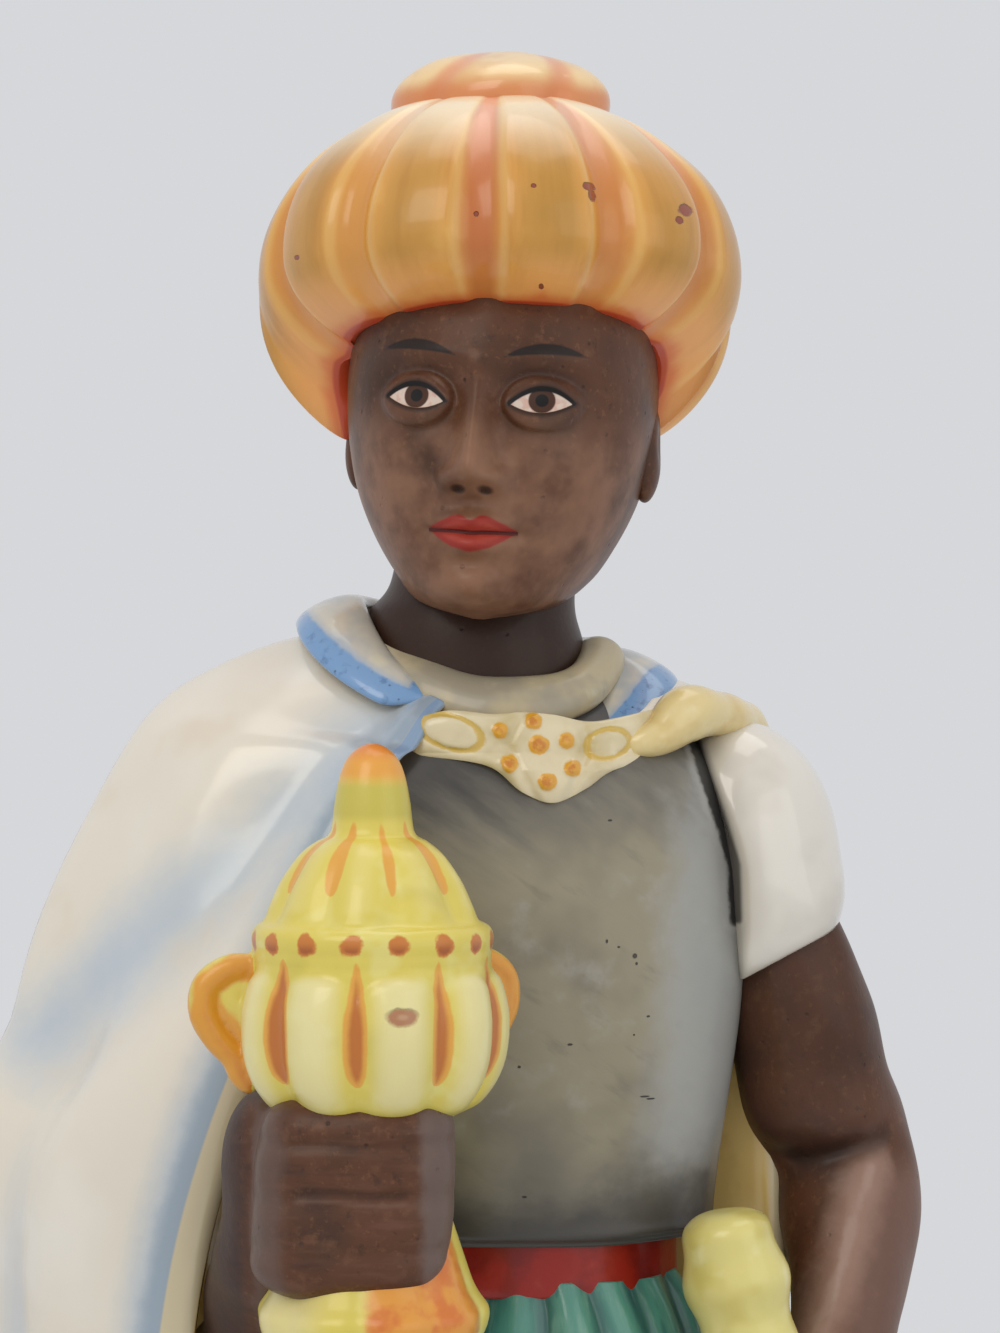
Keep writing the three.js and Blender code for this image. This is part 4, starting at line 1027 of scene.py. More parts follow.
glaze = Glaze("clasp_glaze", (226, 213, 176), 0.28, coat=0.6, coat_roughness=0.1)
glaze.mottle((194, 174, 116), 7, 3, 0.44, 0.74, 0.7)
loose = glaze.loose(0.7, 1.1, 4)
rings = glaze.step(glaze.sum("ADD", glaze.mark("rings"), loose), 0.5, 0.22)
glaze.brush((208, 172, 56), rings, 0.85)
dots = glaze.sum("ADD", glaze.mark("dots"), loose)
glaze.stroke((226, 164, 22), dots, 0.22, -0.04, 0.95)
middles = glaze.sum("MULTIPLY", glaze.step(dots, -0.1, -0.6), glaze.step(glaze.cloud(0.8, 3), 0.3, 0.6))
glaze.brush((198, 112, 8), middles, 0.8)
glaze.dent(glaze.cloud(2.4, 4), 0.08)
fire(clasp, glaze.done())

cloth, bearing, share = ball_of_clay("shoulder_cloth", 80, 90)
places = limb(SHOULDER_CLOTH, bearing, share)
press(cloth, places)
knead(cloth, 0.18, 9)

glaze = Glaze("shoulder_glaze", (230, 209, 148), 0.26, coat=0.7, coat_roughness=0.07)
glaze.mottle((214, 182, 108), 7, 3, 0.42, 0.68, 0.8)
glaze.mottle((240, 228, 190), 5, 3, 0.56, 0.76, 0.6)
glaze.dent(glaze.cloud(4, 3), 0.1)
fire(cloth, glaze.done())

# Left sleeve. A puffed sleeve that leans out from the shoulder and is cut off below on a slant, plain
# glossy white, with grey painted shade at its seam with the cuirass and at the hem.
SLEEVE = {"x": 28.7, "y": 3, "z": 211, "wide": 12.1, "deep": 11.5, "up": 16.6, "down": 17}
SLEEVE_LEAN = np.radians(-2)
SLEEVE_DROP, SLEEVE_SLANT, SLEEVE_FLARE = 0.84, 0.4, 0.12
# Its seam in the armhole: inside that line the sleeve drops back behind the plate.
SEAM_X, SEAM_LEAN, SEAM_LOW, SEAM_HIGH, SEAM_DEPTH = 28.1, 5.1, 208, 228, 5

sleeve, bearing, share = ball_of_clay("sleeve", 150, 130)
px, py, pz = (places_of(sleeve) * MM).T
hem = SLEEVE_SLANT * px - SLEEVE_DROP
flare = 1 + SLEEVE_FLARE * bump(pz - hem, 0.35) * rise(0, 0.06, pz - hem + 0.08)
z = np.maximum(pz, hem) * np.where(pz > 0, SLEEVE["up"], SLEEVE["down"])
puff = 1 + 0.02 * np.sin(6 * bearing + 1) * rise(-0.1, -0.6, pz)
x, y = px * SLEEVE["wide"] * flare * puff, py * SLEEVE["deep"] * flare * puff
s, c = np.sin(SLEEVE_LEAN), np.cos(SLEEVE_LEAN)
x, y, z = SLEEVE["x"] + x * c + z * s, SLEEVE["y"] + y, SLEEVE["z"] - x * s + z * c
seam = SEAM_X - SEAM_LEAN * rise(SEAM_LOW, SEAM_HIGH, z)
press(sleeve, spot(x, y + SEAM_DEPTH * rise(seam + 1.2, seam - 0.8, x) * rise(4, -6, y), z))
paint(sleeve, "over_hem", (pz - hem) * 17)
apply(sleeve, "SMOOTH", factor=0.5, iterations=3)
knead(sleeve, 0.3, 19)
paint(sleeve, "to_armhole", off_path(sleeve, ARMHOLE))

glaze = Glaze("sleeve_glaze", (228, 223, 212), 0.18, coat=1.0, coat_roughness=0.08)
glaze.mottle((206, 199, 186), 14, 3, 0.44, 0.7, 0.7)
# Painted shade: grey at the hem, and grey to near black along the seam with the cuirass.
glaze.stroke((176, 166, 150), glaze.mark("over_hem"), 1.6, -0.2, 0.5)
armhole = glaze.mark("to_armhole")
glaze.stroke((186, 179, 166), armhole, 5.0, 1.0, 0.6)
glaze.stroke((62, 58, 56), armhole, 0.8, 0.3, 0.8)
glaze.dent(glaze.cloud(11, 2), 0.22)
fire(sleeve, glaze.done())

# Arms. The left arm comes bare from its sleeve and bends to rest its fist on the sword, and the right
# forearm comes out of the cloak and closes round the cup. Each is modelled as one with its hand.
LEFT_ARM = [
    (30.5, 2, 211, 7.6),
    (34.2, 3, 200.5, 8),
    (36.6, 4.5, 191.5, 8.8),
    (38.3, 6.5, 183, 9.4),
    (41.6, 8, 174.5, 9),
    (42.3, 4.5, 166.5, 8.4),
    (41.4, -2, 157.5, 6.8),
    (38.5, -8, 148, 5.9),
    (35, -11, 142, 5.7),
]
RIGHT_ARM = [
    (-39, 10, 142, 9.4),
    (-29, -12, 153, 7.3),
    (-26.2, -24, 163, 7.3),
    (-23.8, -31.5, 171, 7.7),
    (-22.8, -35, 179.5, 8.3),
    (-22, -37, 187.5, 8.2),
]
# Lines of the front view: the crease of the elbow, and the ridge that runs from it down the forearm.
ELBOW = [(31.6, 174.7), (36, 174.9), (40.2, 175.7), (44.6, 176.8), (47.1, 178.2)]
RIDGE = [(44.4, 174), (42.7, 170), (41, 165), (38.7, 159), (36.2, 154.5)]
FIST_CREASES = [(0.51, 0.22), (0.28, 0.12), (0.06, 0.4)]  # how far up, and how deep
FINGERS = 4
RIGHT_FIST = {"x": -16.1, "y": -41.6, "z": 176.4, "wide": 11, "deep": 8.4, "tall": 11.8, "lean": 0.8}
LEFT_FIST = {"x": 32, "y": -14.5, "z": 142.5, "wide": 8, "deep": 6.8, "tall": 8.6, "lean": -0.8}


def fist_of_clay(name, x, y, z, wide, deep, tall, lean):
    """A closed hand: four fingers laid one above another in a block, with a crease between each two."""
    fist, bearing, share = ball_of_clay(name, 120, 100)
    polar = np.cos(share * np.pi)
    up = signed_power(np.sin(polar * np.pi / 2), 0.62)
    round_off = np.sqrt(np.maximum(0, 1 - np.abs(up) ** 7))
    grooves = 0.05 * (0.5 + 0.5 * np.cos(np.pi * FINGERS * (up + 1))) ** 6
    size = round_off * (1 - grooves * rise(-0.2, 0.5, np.cos(bearing)))
    side = -wide * size * signed_power(np.sin(bearing), 0.72)
    ahead = -deep * size * signed_power(np.cos(bearing), 0.72)
    press(fist, spot(x + lean * up + side, y + ahead, z + tall * up))
    return fist


def cast_together(name, pieces, fineness, smoothing):
    """Makes one closed skin of pieces that run into each other, and softens where they meet."""
    whole = join(name, pieces)
    apply(whole, "REMESH", mode="VOXEL", voxel_size=fineness * MM)
    apply(whole, "SMOOTH", factor=0.5, iterations=smoothing)
    return whole


def arm_of_clay(name, joints, fist):
    """An arm along its joints, in one skin with its fist."""
    arm, bearing, share = ball_of_clay(name, 96, 110)
    press(arm, limb(joints, bearing, share))
    arm = cast_together(name, [arm, fist_of_clay("fist", **fist)], 0.42, 7)
    knead(arm, 0.3, 13)
    return arm


left_arm = arm_of_clay("left_arm", LEFT_ARM, LEFT_FIST)
x, y, z = places_of(left_arm).T
height = z - BASE_HEIGHT
to_crease = off_lines(x, height, ELBOW)
above = np.where(height > np.interp(x, *zip(*ELBOW)), 1.0, -1.0) * to_crease
in_front = rise(4.5, 0.5, y)
carve = (1.2 * bump(to_crease, 1.5) - 0.7 * bump(above - 3.4, 2.2)) * rise(47.5, 43, x)
to_ridge = off_lines(x, height, RIDGE)
press(left_arm, np.stack([x, y + in_front * (carve - 0.7 * bump(to_ridge, 2)), z], 1))
paint(left_arm, "to_crease", to_crease + FAR * (1 - in_front))
paint(left_arm, "to_ridge", to_ridge + FAR * (1 - in_front))
paint(left_arm, "fold", in_front * rise(170, 176, height) * rise(186, 178, height) * rise(46, 38, x))
glaze = skin("left_arm_glaze")
# Painted shade on the upper arm, below the sleeve.
glaze.stroke((60, 38, 28), glaze.height(), 0.192, 0.2, 0.45)
glaze.mottle((122, 94, 84), 10, 3, 0.6, 0.85, 0.4)
aside = glaze.split(glaze.place)[0]
height = glaze.height()
# A painted reflection low on the outer side of the forearm.
low = glaze.step(height, 0.189, 0.183)
glaze.brush((122, 92, 80), glaze.sum("MULTIPLY", low, glaze.step(aside, 0.038, 0.043)), 0.7)
# Painted shade in the hollow inside the elbow.
glaze.brush((70, 47, 40), glaze.mark("fold"), 0.6)
# A painted highlight along the ridge down the forearm.
ridge = glaze.sum("ADD", glaze.mark("to_ridge"), glaze.sum("MULTIPLY", glaze.cloud(2.5, 4), 2.0))
glaze.stroke((156, 124, 108), ridge, 5.4, 1.8, 0.85)
glaze.stroke((178, 154, 142), ridge, 2.0, 1.0, 0.4)
# Painted shade in the crease of the elbow.
glaze.stroke((44, 30, 27), glaze.mark("to_crease"), 2.4, 0.2, 0.6)
fire(left_arm, glaze.done())

right_arm = arm_of_clay("right_arm", RIGHT_ARM, RIGHT_FIST)
x, y, z = places_of(right_arm).T
across = (x - RIGHT_FIST["x"]) / RIGHT_FIST["wide"]
up = z - BASE_HEIGHT - RIGHT_FIST["z"] + 0.25 * np.sin(5 * across)
knuckles = rise(0.66, 0.5, np.abs(across)) * rise(-44, -46, y)
carve = sum(deep * bump(up - at * RIGHT_FIST["tall"], 0.6) for at, deep in FIST_CREASES) * knuckles
lit = sum(deep * bump(up - at * RIGHT_FIST["tall"] + 1.0, 0.4) for at, deep in FIST_CREASES) * knuckles
press(right_arm, np.stack([x, y + carve, z], 1))
paint(right_arm, "across_fist", across)
paint(right_arm, "carve", carve)
paint(right_arm, "lit", lit)
glaze = skin("right_arm_glaze")
strokes = glaze.cloud(1.8, 5, vector=glaze.stretched((0.22, 0.22, 1.0)))
glaze.stroke((112, 76, 58), strokes, 0.5, 0.72, 0.6)
glaze.stroke((60, 38, 32), strokes, 0.46, 0.26, 0.6)
loose = glaze.loose(0.2, 3, 4)
across = glaze.sum("ADD", loose, glaze.mark("across_fist"))
band = glaze.sum("MULTIPLY", glaze.step(across, -0.58, -0.78), glaze.step(across, -1.05, -0.96))
glaze.brush((104, 84, 76), band, 0.7)
glaze.stroke((112, 94, 88), across, 0.62, 0.76, 0.85)
# Painted shade on the wrist behind the fist.
glaze.stroke((50, 35, 32), across, -1.0, -1.2, 0.7)
# Painted shade in the creases between the fingers, and a painted highlight just below each.
glaze.stroke((44, 27, 22), glaze.mark("carve"), 0.08, 0.45, 0.45)
glaze.stroke((128, 98, 84), glaze.mark("lit"), 0.1, 0.5, 0.45)
fire(right_arm, glaze.done())

# Covered cup. Turned, with ribs on lid, bowl and foot, and two ears; the lid is cast on. It is glazed
# lemon, with orange in the creases, on the finial, the ears and the foot, and a row of dots round its rim.
CUP = {"x": -14.1, "y": -38, "ribs": 9, "first": np.radians(5.5), "lid": 203, "rim": 13.2, "arch": 201}
CUP_ROWS = [
    (225.6, 0, 0),
    (225.2, 1.3, 0),
    (224, 2.7, 0),
    (222, 3.6, 0),
    (219, 4.2, 0),
    (216.4, 4.5, 0),
    (215.3, 4.9, 0),
    (214.7, 6.2, 0.2),
    (213.2, 8.1, 0.6),
    (210.4, 10.1, 1),
    (207.6, 11.4, 1),
    (206, 12, 0.6),
    (205.4, 12.9, 0),
    (204.3, 13.4, 0),
    (202, 13.2, 0),
    (201.2, 13.2, 0.2),
    (199, 14.4, 1.2),
    (195, 15.2, 1.8),
    (190, 14.6, 1.8),
    (186, 12.2, 1.5),
    (181.5, 7, 0.3),
    (167, 10.8, 0.4),
    (162.5, 13, 0.7),
    (158.4, 10, 0),
    (158.2, 0, 0),
]
CUP_DOTS = {"many": 16, "first": np.radians(8), "z": 203.9, "wide": 1.2, "tall": 1.1}
# Strokes in the creases: their foot, their top and half their width. The lid's own lie between the bowl's.
CUP_STROKES = [(188.6, 202.4, 1.7), (209, 217.2, 1.0)]
STROKES_WIDEST, STROKES_VARY = np.radians(45.5), 0.25  # three times round, some strokes are wider
CUP_PETALS, PETAL_FIRST = 2, np.radians(-36)  # orange petals on the foot
CUP_CHIP = (-10.3, 196.5, 1.7, 1.0)
# The bearings of its two ears. An ear's bow and web run through a reach, a height and a radius each.
EARS = [84, 232]
EAR_BOW = [
    (11, 200.8, 1.5),
    (15.3, 200.9, 1.6),
    (18.3, 199, 1.6),
    (18.7, 195.9, 1.6),
    (17.2, 193, 1.5),
    (15.3, 191, 1.5),
    (14.5, 189, 1.4),
    (13, 187.2, 1.3),
]
EAR_WEB = [(11, 199.5, 1.6), (16, 197.4, 1.9), (12.5, 191, 1.6)]

cup, bearing, share = ball_of_clay("cup", CUP["ribs"] * 30, 200)
z, radius, rib = read(CUP_ROWS, share)
radius = np.maximum(radius, 0) * (share > 0.001) * (share < 0.999)
first = CUP["first"] + np.pi / CUP["ribs"] * (z > CUP["lid"])
between = crease(bearing, CUP["ribs"], first)
reach = radius - np.maximum(rib, 0) * between
under_arch = np.where(z < CUP["lid"], rise(0, 1.4, CUP["arch"] - 3 * between**2 - z), 1)
reach = np.minimum(reach, CUP["rim"]) + np.maximum(reach - CUP["rim"], 0) * under_arch
press(cup, spot(CUP["x"] - reach * np.sin(bearing), CUP["y"] - reach * np.cos(bearing), z))
handles = [cup]
for turn in np.radians(EARS):
    s, c = np.sin(turn), np.cos(turn)
    for joints, flat in ((EAR_BOW, 1), (EAR_WEB, 0.5)):
        ear, bearing, share = ball_of_clay("cup_ear", 40, 60)
        path = [(CUP["x"] - out * s, CUP["y"] - out * c, z, radius) for out, z, radius in joints]
        press(ear, limb(path, bearing, share, 8, (1, flat)))
        handles.append(ear)
cup = cast_together("cup", handles, 0.34, 3)
x, y, z = places_of(cup).T
x, y, z = x - CUP["x"], y - CUP["y"], z - BASE_HEIGHT
out = np.hypot(x, y)
bearing = np.arctan2(-x, -y)
phase = CUP["ribs"] * (bearing - CUP["first"]) - np.pi * (z > CUP["lid"])
from_crease = np.abs(wrapped(phase)) / CUP["ribs"] * out
# Where the painted highlight on the crowns of the ribs lies, on bowl and lid.
crowned = rise(183, 188, z) * rise(202, 199.5, z) + 0.55 * rise(205.5, 208, z) * rise(217, 214, z)
paint(cup, "on_crown", np.abs(np.sin(phase / 2)) * crowned)
strokes = np.full(len(z), -FAR)
for low, high, wide in CUP_STROKES:
    along = (z - low) / (high - low)
    lens = np.sqrt(np.maximum(0, 1 - (2 * along - 1) ** 4)) * (1 - 0.5 * rise(0.4, 1, along))
    wide *= 1 + STROKES_VARY * np.cos(3 * (bearing - STROKES_WIDEST))
    strokes = np.maximum(strokes, np.where(lens > 0, wide * lens - from_crease, -FAR))
paint(cup, "strokes", strokes)
phase = CUP_DOTS["many"] * (bearing - CUP_DOTS["first"])
aside = wrapped(phase) / CUP_DOTS["many"] * out
from_dot = np.hypot(aside / CUP_DOTS["wide"], (z - CUP_DOTS["z"]) / CUP_DOTS["tall"])
paint(cup, "from_dot", from_dot)
paint(cup, "petal", np.cos(CUP_PETALS * (bearing - PETAL_FIRST)) - 0.24)
bow = [(reach, height) for reach, height, _ in EAR_BOW]
to_bow = off_lines(out, z, bow)
turns = [bearing - turn for turn in np.radians(EARS)]
beside = np.min([np.abs(wrapped(turn)) for turn in turns], axis=0) * out
paint(cup, "to_bow", np.hypot(to_bow, np.maximum(beside - 1, 0)) + FAR * (out < 13.3))

glaze = Glaze("cup_glaze", (226, 208, 92), 0.36, coat=0.45, coat_roughness=0.14)
glaze.mottle((232, 222, 134), 5, 2, 0.5, 0.7, 0.7)
glaze.mottle((198, 182, 66), 9, 2, 0.52, 0.76, 0.6)
height = glaze.height()
loose = glaze.loose(1.3, 2.2, 4)
# A painted highlight, paler on the crowns of the ribs.
glaze.stroke((238, 229, 176), glaze.mark("on_crown"), 0.3, 1.0, 0.7)
finial = glaze.sum("MULTIPLY", glaze.step(height, 0.2285, 0.230), glaze.step(height, 0.2345, 0.2325))
glaze.brush((196, 184, 74), finial, 0.7)
strokes = glaze.sum("MULTIPLY_ADD", loose, 0.35, glaze.mark("strokes"))
glaze.stroke((230, 164, 60), strokes, 0.0, 0.3, 0.92)
core = glaze.sum("MULTIPLY", glaze.step(strokes, 0.35, 1.1), glaze.step(height, 0.218, 0.214))
glaze.brush((188, 98, 24), core, 0.85)
lower = glaze.step(height, 0.186, 0.182)
petal = glaze.sum("MULTIPLY_ADD", loose, 0.25, glaze.mark("petal"))
petal = glaze.sum("MULTIPLY", glaze.step(petal, -0.1, 0.2), lower)
glaze.brush((232, 150, 48), petal, 0.9)
glaze.brush((214, 104, 34), glaze.sum("MULTIPLY", petal, glaze.step(glaze.cloud(4, 3), 0.42, 0.66)), 0.75)
pale = glaze.sum("MULTIPLY", glaze.step(glaze.mark("petal"), -0.5, -1.2), lower)
glaze.brush((238, 226, 170), pale, 0.6)
dots = glaze.sum("MULTIPLY_ADD", loose, 1.1, glaze.mark("from_dot"))
glaze.stroke((204, 116, 36), dots, 1.2, 0.9, 0.95)
darker = glaze.sum("MULTIPLY", glaze.step(dots, 1.0, 0.6), glaze.step(height, 0.2164, 0.2152))
glaze.brush((156, 74, 20), darker, 0.75)
glaze.stroke((236, 164, 62), height, 0.2325, 0.2345, 0.95)
glaze.stroke((226, 124, 50), height, 0.2352, 0.2372, 0.7)
bow = glaze.sum("MULTIPLY_ADD", loose, 0.6, glaze.mark("to_bow"))
glaze.stroke((226, 154, 44), bow, 1.8, 1.2, 0.95)
glaze.stroke((204, 112, 30), bow, 0.9, 0.0, 0.5)
chip = glaze.sum("ADD", glaze.spots([CUP_CHIP]), glaze.sum("MULTIPLY", loose, 0.6))
glaze.stroke((166, 92, 62), chip, 1.15, 0.75, 0.85)
glaze.stroke((226, 196, 160), chip, 0.55, 0.2, 0.3)
glaze.dent(glaze.step(chip, 1.2, 0.8), -0.3)
glaze.dent(glaze.cloud(3, 4), 0.06)
fire(cup, glaze.done())

# Sword. A thick, softly ringed grip with a rounded end, glazed pale yellow, and a brown scabbard banded in
# ochre, which lies along the left thigh. Both are cast on.
GRIP_TOP, GRIP_FOOT = (25.8, -15, 170.8), (31.4, -14, 144)
GRIP = {"radius": 6.2, "taper": 1.2, "ring": 0.25, "rings": 3.2}
SCABBARD = [
    (31, -14, 148, 4.2),
    (35, -9.5, 128, 4.4),
    (38.5, -3, 108, 4.2),
    (42, 5, 84, 3.6),
    (43.5, 9, 72, 2.8),
]

grip, bearing, share = ball_of_clay("sword_grip", 100, 120)
joints = []
for along in np.linspace(0, 1, 25):
    ring = GRIP["ring"] * np.cos(2 * np.pi * GRIP["rings"] * along)
    radius = GRIP["radius"] - GRIP["taper"] * along + 1.6 * ring
    joints.append((*mix(np.array(GRIP_TOP), np.array(GRIP_FOOT), along), radius))
press(grip, limb(joints, bearing, share, 8))
knead(grip, 0.2, 11)

glaze = Glaze("grip_glaze", (226, 214, 130), 0.34, coat=0.6, coat_roughness=0.12)
glaze.mottle((204, 186, 88), 7, 2, 0.48, 0.72, 0.6)
glaze.mottle((238, 230, 168), 5, 3, 0.56, 0.76, 0.6)
glaze.dent(glaze.cloud(3, 4), 0.06)
fire(grip, glaze.done())

scabbard, bearing, share = ball_of_clay("scabbard", 72, 120)
press(scabbard, limb(SCABBARD, bearing, share, 10, (0.8, 1.0)))
paint(scabbard, "along", (1 - np.cos(np.pi * share)) / 2)

glaze = Glaze("scabbard_glaze", (120, 74, 42), 0.34, coat=0.8, coat_roughness=0.1)
glaze.mottle((84, 48, 30), 6, 4, 0.45, 0.7, 0.8)
bands = glaze.sum("PINGPONG", glaze.mark("along"), 0.14)
glaze.stroke((206, 172, 84), bands, 0.022, 0.012, 0.9)
glaze.stroke((206, 172, 84), glaze.mark("along"), 0.86, 0.88, 0.9)
glaze.dent(glaze.cloud(2.6, 4), 0.08)
fire(scabbard, glaze.done())

# Turban and knot. A ribbed dome whose lower edge runs level over the brow and drops behind the ears, under
# a ribbed knot. It is ochre on the ribs, blushed pink and orange in the creases and red round the edge.
TURBAN = {"y": 1, "top": 302.6, "waist": 278, "reach": 29.1, "ribs": 11, "rib_depth": 0.08, "lift": 5.5}
TURBAN_FIRST = np.radians(4.8)
# How strong the blush is in each crease, from the front one round by the wearer's right.
TURBAN_BLUSH = [1, 0.15, 0.4, 0.6, 0.6, 0.6, 0.6, 0.6, 0.6, 0.6, 0.6]
TURBAN_CHIPS = [
    (10.1, 288.7, 0.75, 0.5),
    (10.5, 287.7, 0.45, 0.75),
    (21.4, 286.7, 0.85, 0.75),
    (20.7, 285.4, 0.5, 0.4),
    (-2.7, 285.4, 0.3, 0.3),
    (-23.6, 281.5, 0.3, 0.25),
    (4.7, 277.4, 0.28, 0.28),
    (3.8, 288.5, 0.3, 0.25),
]
TURBAN_EDGE = {"brow": 275.8, "nape": 261.4, "brow_reach": 20.4, "nape_reach": 18.6}
SHOWN, TUCKED = 7, 2  # the parts of its way down that show, and that turn in under the edge
KNOT = {"x": 0.2, "y": 3.5, "z": 301.6, "reach": 13.2, "tall": 6.4, "ribs": 5, "rib_depth": 0.08}
KNOT_FIRST = np.radians(40)


def from_creases(bearing, ribs, first):
    """How far a bearing is from the nearest crease between two ribs: 0 in it, and 1 on a rib's crown."""
    phase = ribs * (bearing - first)
    return np.abs(wrapped(phase)) / np.pi


turban, bearing, share = ball_of_clay("turban", TURBAN["ribs"] * 28, 190)
ring = share * (SHOWN + TUCKED)
brow = np.maximum(np.cos(bearing), 0) ** 0.35
waist = TURBAN["waist"] + TURBAN["lift"] * brow
edge = mix(TURBAN_EDGE["nape"], TURBAN_EDGE["brow"], brow)
edge_reach = mix(TURBAN_EDGE["nape_reach"], TURBAN_EDGE["brow_reach"], brow)
angle = np.minimum(ring / SHOWN, 1) * np.pi
s, c = np.sin(angle), np.cos(angle)
to_crown = from_creases(bearing, TURBAN["ribs"], TURBAN_FIRST)
valley = 0.6 * rise(0.42, 0.16, to_crown) + 0.4 * crease(bearing, TURBAN["ribs"], TURBAN_FIRST)
ribs = TURBAN["rib_depth"] * valley * rise(0, 0.5, np.where(c > 0, s, s + 0.35))
full = np.where(c > 0, TURBAN["reach"] * s, mix(edge_reach, TURBAN["reach"], s**1.6))
z = np.where(c > 0, mix(waist, TURBAN["top"], c), mix(waist, edge, -c))
inside = np.maximum(ring - SHOWN, 0) / TUCKED
reach = full * (1 - ribs) * (1 - inside)
lifted = 3 * rise(0, 0.3, inside)
press(turban, spot(-reach * np.sin(bearing), TURBAN["y"] - reach * np.cos(bearing), z + lifted))
paint(turban, "to_crown", to_crown)
paint(turban, "to_edge", (1 - ring / SHOWN) * 60 - 4.5 * brow)
nearest = np.rint(TURBAN["ribs"] * (bearing - TURBAN_FIRST) / (2 * np.pi)).astype(int)
paint(turban, "blush", np.array(TURBAN_BLUSH)[nearest % TURBAN["ribs"]])
paint(turban, "run", np.stack([np.cos(bearing) * 29, np.sin(bearing) * 29, ring * 8], 1))
knead(turban, 0.35, 22)

glaze = Glaze("turban_glaze", (222, 158, 66), 0.34, coat=0.5, coat_roughness=0.12)
streaks = glaze.cloud(3.4, 4, vector=glaze.stretched((1, 1, 0.12), glaze.marks("run")), unit=1)
glaze.stroke((200, 132, 38), streaks, 0.46, 0.72, 0.7)
glaze.mottle((236, 182, 92), 8, 3, 0.52, 0.76, 0.6)
to_edge = glaze.mark("to_edge")
to_crown = glaze.pushed(glaze.mark("to_crown"), streaks, 0.22)
side = glaze.sum("MULTIPLY", glaze.step(to_edge, 12, 22), glaze.step(to_edge, 50, 40))
olive = glaze.sum("MULTIPLY", glaze.step(to_crown, 0.3, 0.8), side)
olive = glaze.sum("MULTIPLY", olive, glaze.cloud(12, 2))
glaze.brush((164, 122, 30), olive, 0.85)
# A painted highlight, paler towards the top round the knot.
glaze.stroke((255, 238, 204), to_edge, 33, 47, 0.9)
# Peach paint towards the lower edge, made lighter there by a painted highlight.
soft = glaze.pushed(to_edge, streaks, 7.0)
glaze.stroke((252, 176, 98), soft, 22.0, 6.0, 0.85)
# Painted highlights on the edges of the ribs beside each crease.
lip = glaze.sum("MULTIPLY", glaze.step(to_crown, 0.24, 0.34), glaze.step(to_crown, 0.5, 0.38))
glaze.brush((244, 210, 132), lip, 0.25)
valley = glaze.sum("MULTIPLY", glaze.step(to_crown, 0.38, 0.1), glaze.mark("blush"))
glaze.brush((206, 116, 50), valley, 0.75)
glaze.brush((184, 88, 34), glaze.sum("MULTIPLY", valley, side), 0.45)
glaze.brush((244, 176, 142), glaze.sum("MULTIPLY", valley, glaze.step(to_edge, 30, 44)), 0.8)
glaze.stroke((230, 110, 50), soft, 8.0, 2.0, 0.8)
glaze.stroke((200, 62, 26), to_edge, 2.6, 0.8, 0.9)
loose = glaze.sum("SUBTRACT", glaze.cloud(0.8, 3), 0.5)
worn = glaze.sum("MULTIPLY_ADD", loose, 0.8, glaze.spots(TURBAN_CHIPS))
pits = glaze.step(worn, 1.15, 0.8)
glaze.brush((138, 48, 34), pits, 0.9)
glaze.dent(pits, -0.3)
glaze.dent(streaks, 0.06)
glaze.dent(glaze.cloud(6, 3), 0.12)
fire(turban, glaze.done())

knot, bearing, share = ball_of_clay("turban_knot", KNOT["ribs"] * 32, 90)
polar = share * np.pi
up = np.cos(polar)
between = crease(bearing + 0.3 * up, KNOT["ribs"], KNOT_FIRST)
reach = KNOT["reach"] * (1 - KNOT["rib_depth"] * between) * np.sin(polar)
z = KNOT["z"] + KNOT["tall"] * signed_power(up, 0.9)
press(knot, spot(KNOT["x"] - reach * np.sin(bearing), KNOT["y"] - reach * np.cos(bearing), z))
paint(knot, "between_ribs", between)
paint(knot, "up", up)
knead(knot, 0.3, 12)

glaze = Glaze("knot_glaze", (244, 210, 152), 0.28, coat=0.6, coat_roughness=0.1)
glaze.mottle((226, 176, 110), 6, 3, 0.4, 0.72, 0.7)
glaze.stroke((226, 146, 100), glaze.mark("between_ribs"), 0.4, 0.85, 0.8)
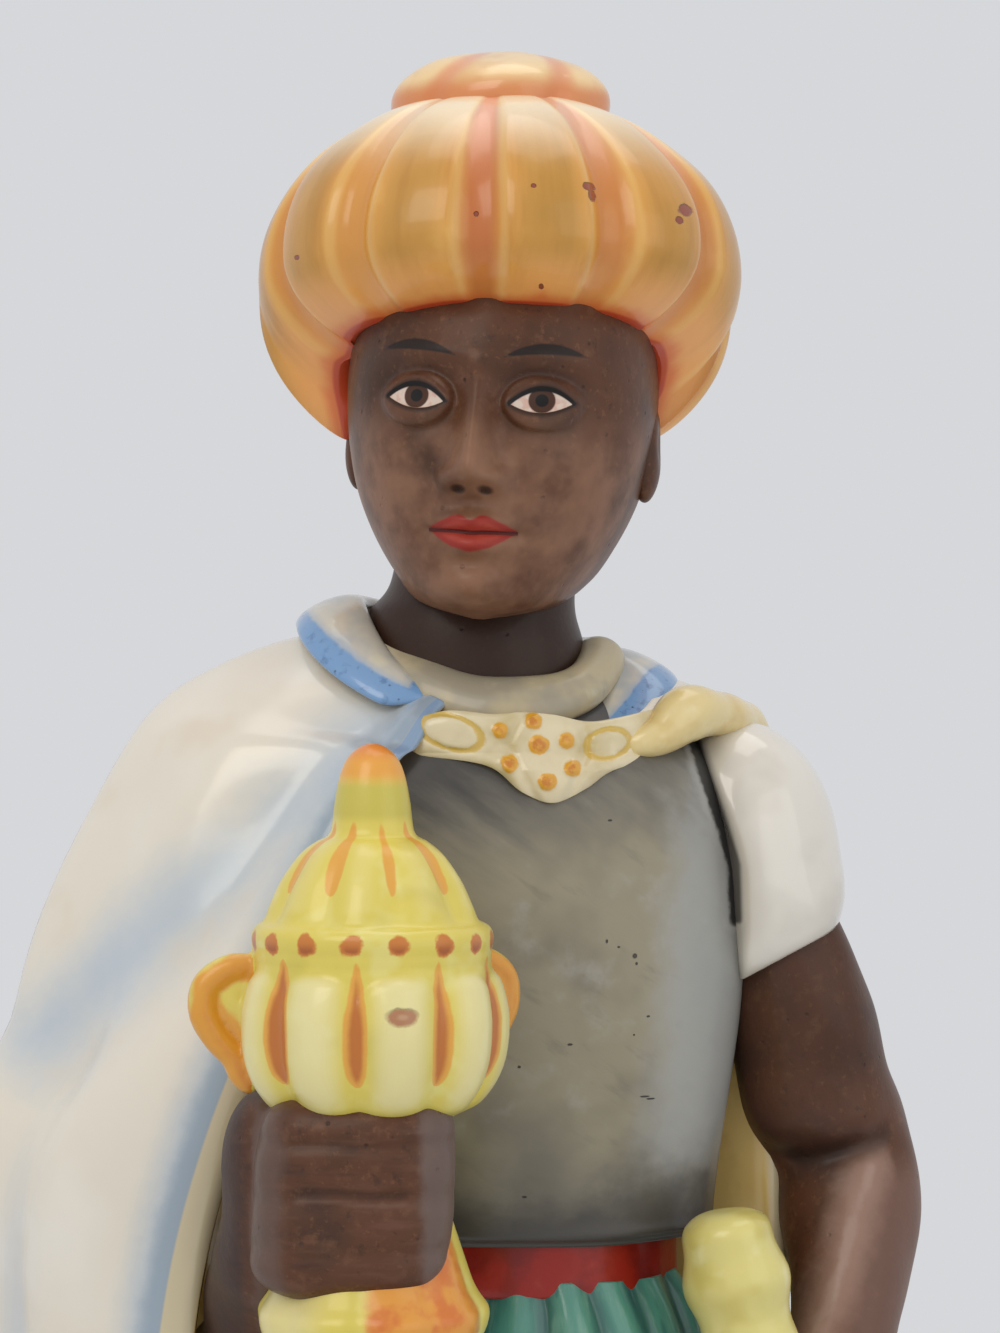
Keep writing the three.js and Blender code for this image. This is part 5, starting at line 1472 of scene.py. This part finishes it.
# Painted shade, deeper orange on the knot's underside.
glaze.stroke((218, 128, 66), glaze.mark("up"), 0.4, 0.02, 0.85)
glaze.dent(glaze.cloud(4, 3), 0.1)
fire(knot, glaze.done())

# How it is shown. The camera stands level with the king's chin, close in front, on a pale floor under
# wide soft lights, the way small figures are photographed for a shop.
VIEW_HEIGHT, VIEW_AWAY, VIEW_TALL = 246, 480, 160

camera = bpy.data.objects.new("camera", bpy.data.cameras.new("camera"))
bpy.context.scene.collection.objects.link(camera)
camera.location = (0, -VIEW_AWAY * MM, VIEW_HEIGHT * MM)
camera.rotation_euler = (np.pi / 2, 0, 0)
camera.data.sensor_width = 36
camera.data.lens = 36 * VIEW_AWAY / VIEW_TALL
camera.data.clip_start = 0.01
bpy.context.scene.camera = camera


def softbox(name, size, place, power, warmth, aim=(0, 0, 0.22)):
    """A square soft light that faces the figure."""
    lamp = bpy.data.lights.new(name, "AREA")
    lamp.color = warmth
    lamp.shape, lamp.size, lamp.energy = "SQUARE", size, power
    holder = bpy.data.objects.new(name, lamp)
    bpy.context.scene.collection.objects.link(holder)
    holder.location = place
    direction = np.array(aim) - np.array(place)
    flat = np.hypot(*direction[:2])
    holder.rotation_euler = (np.arctan2(flat, -direction[2]), 0, np.arctan2(-direction[0], direction[1]))
    return holder


softbox("key_light", 0.7, (-0.5, -0.9, 1.0), 3.6, (1, 0.93, 0.82))
softbox("fill_light", 0.9, (0.9, -0.7, 0.5), 1.4, (1, 0.95, 0.88))
softbox("top_light", 0.8, (0.1, 0.2, 1.3), 2.4, (1, 0.95, 0.88))

bpy.ops.object.select_all(action="DESELECT")
bpy.ops.mesh.primitive_circle_add(vertices=128, radius=0.95, fill_type="NGON", location=(0, 0, -0.0005))
floor = bpy.context.object
floor.name = floor.data.name = "floor"
glaze = Glaze("floor_paint", (214, 215, 217), 0.7)
glaze.done()
floor.data.materials.append(glaze.material)

world = bpy.data.worlds.new("studio")
world.use_nodes = True
world.node_tree.nodes["Background"].inputs["Color"].default_value = hue(214, 215, 218)
bpy.context.scene.world = world
bpy.context.scene.view_settings.view_transform = "Standard"
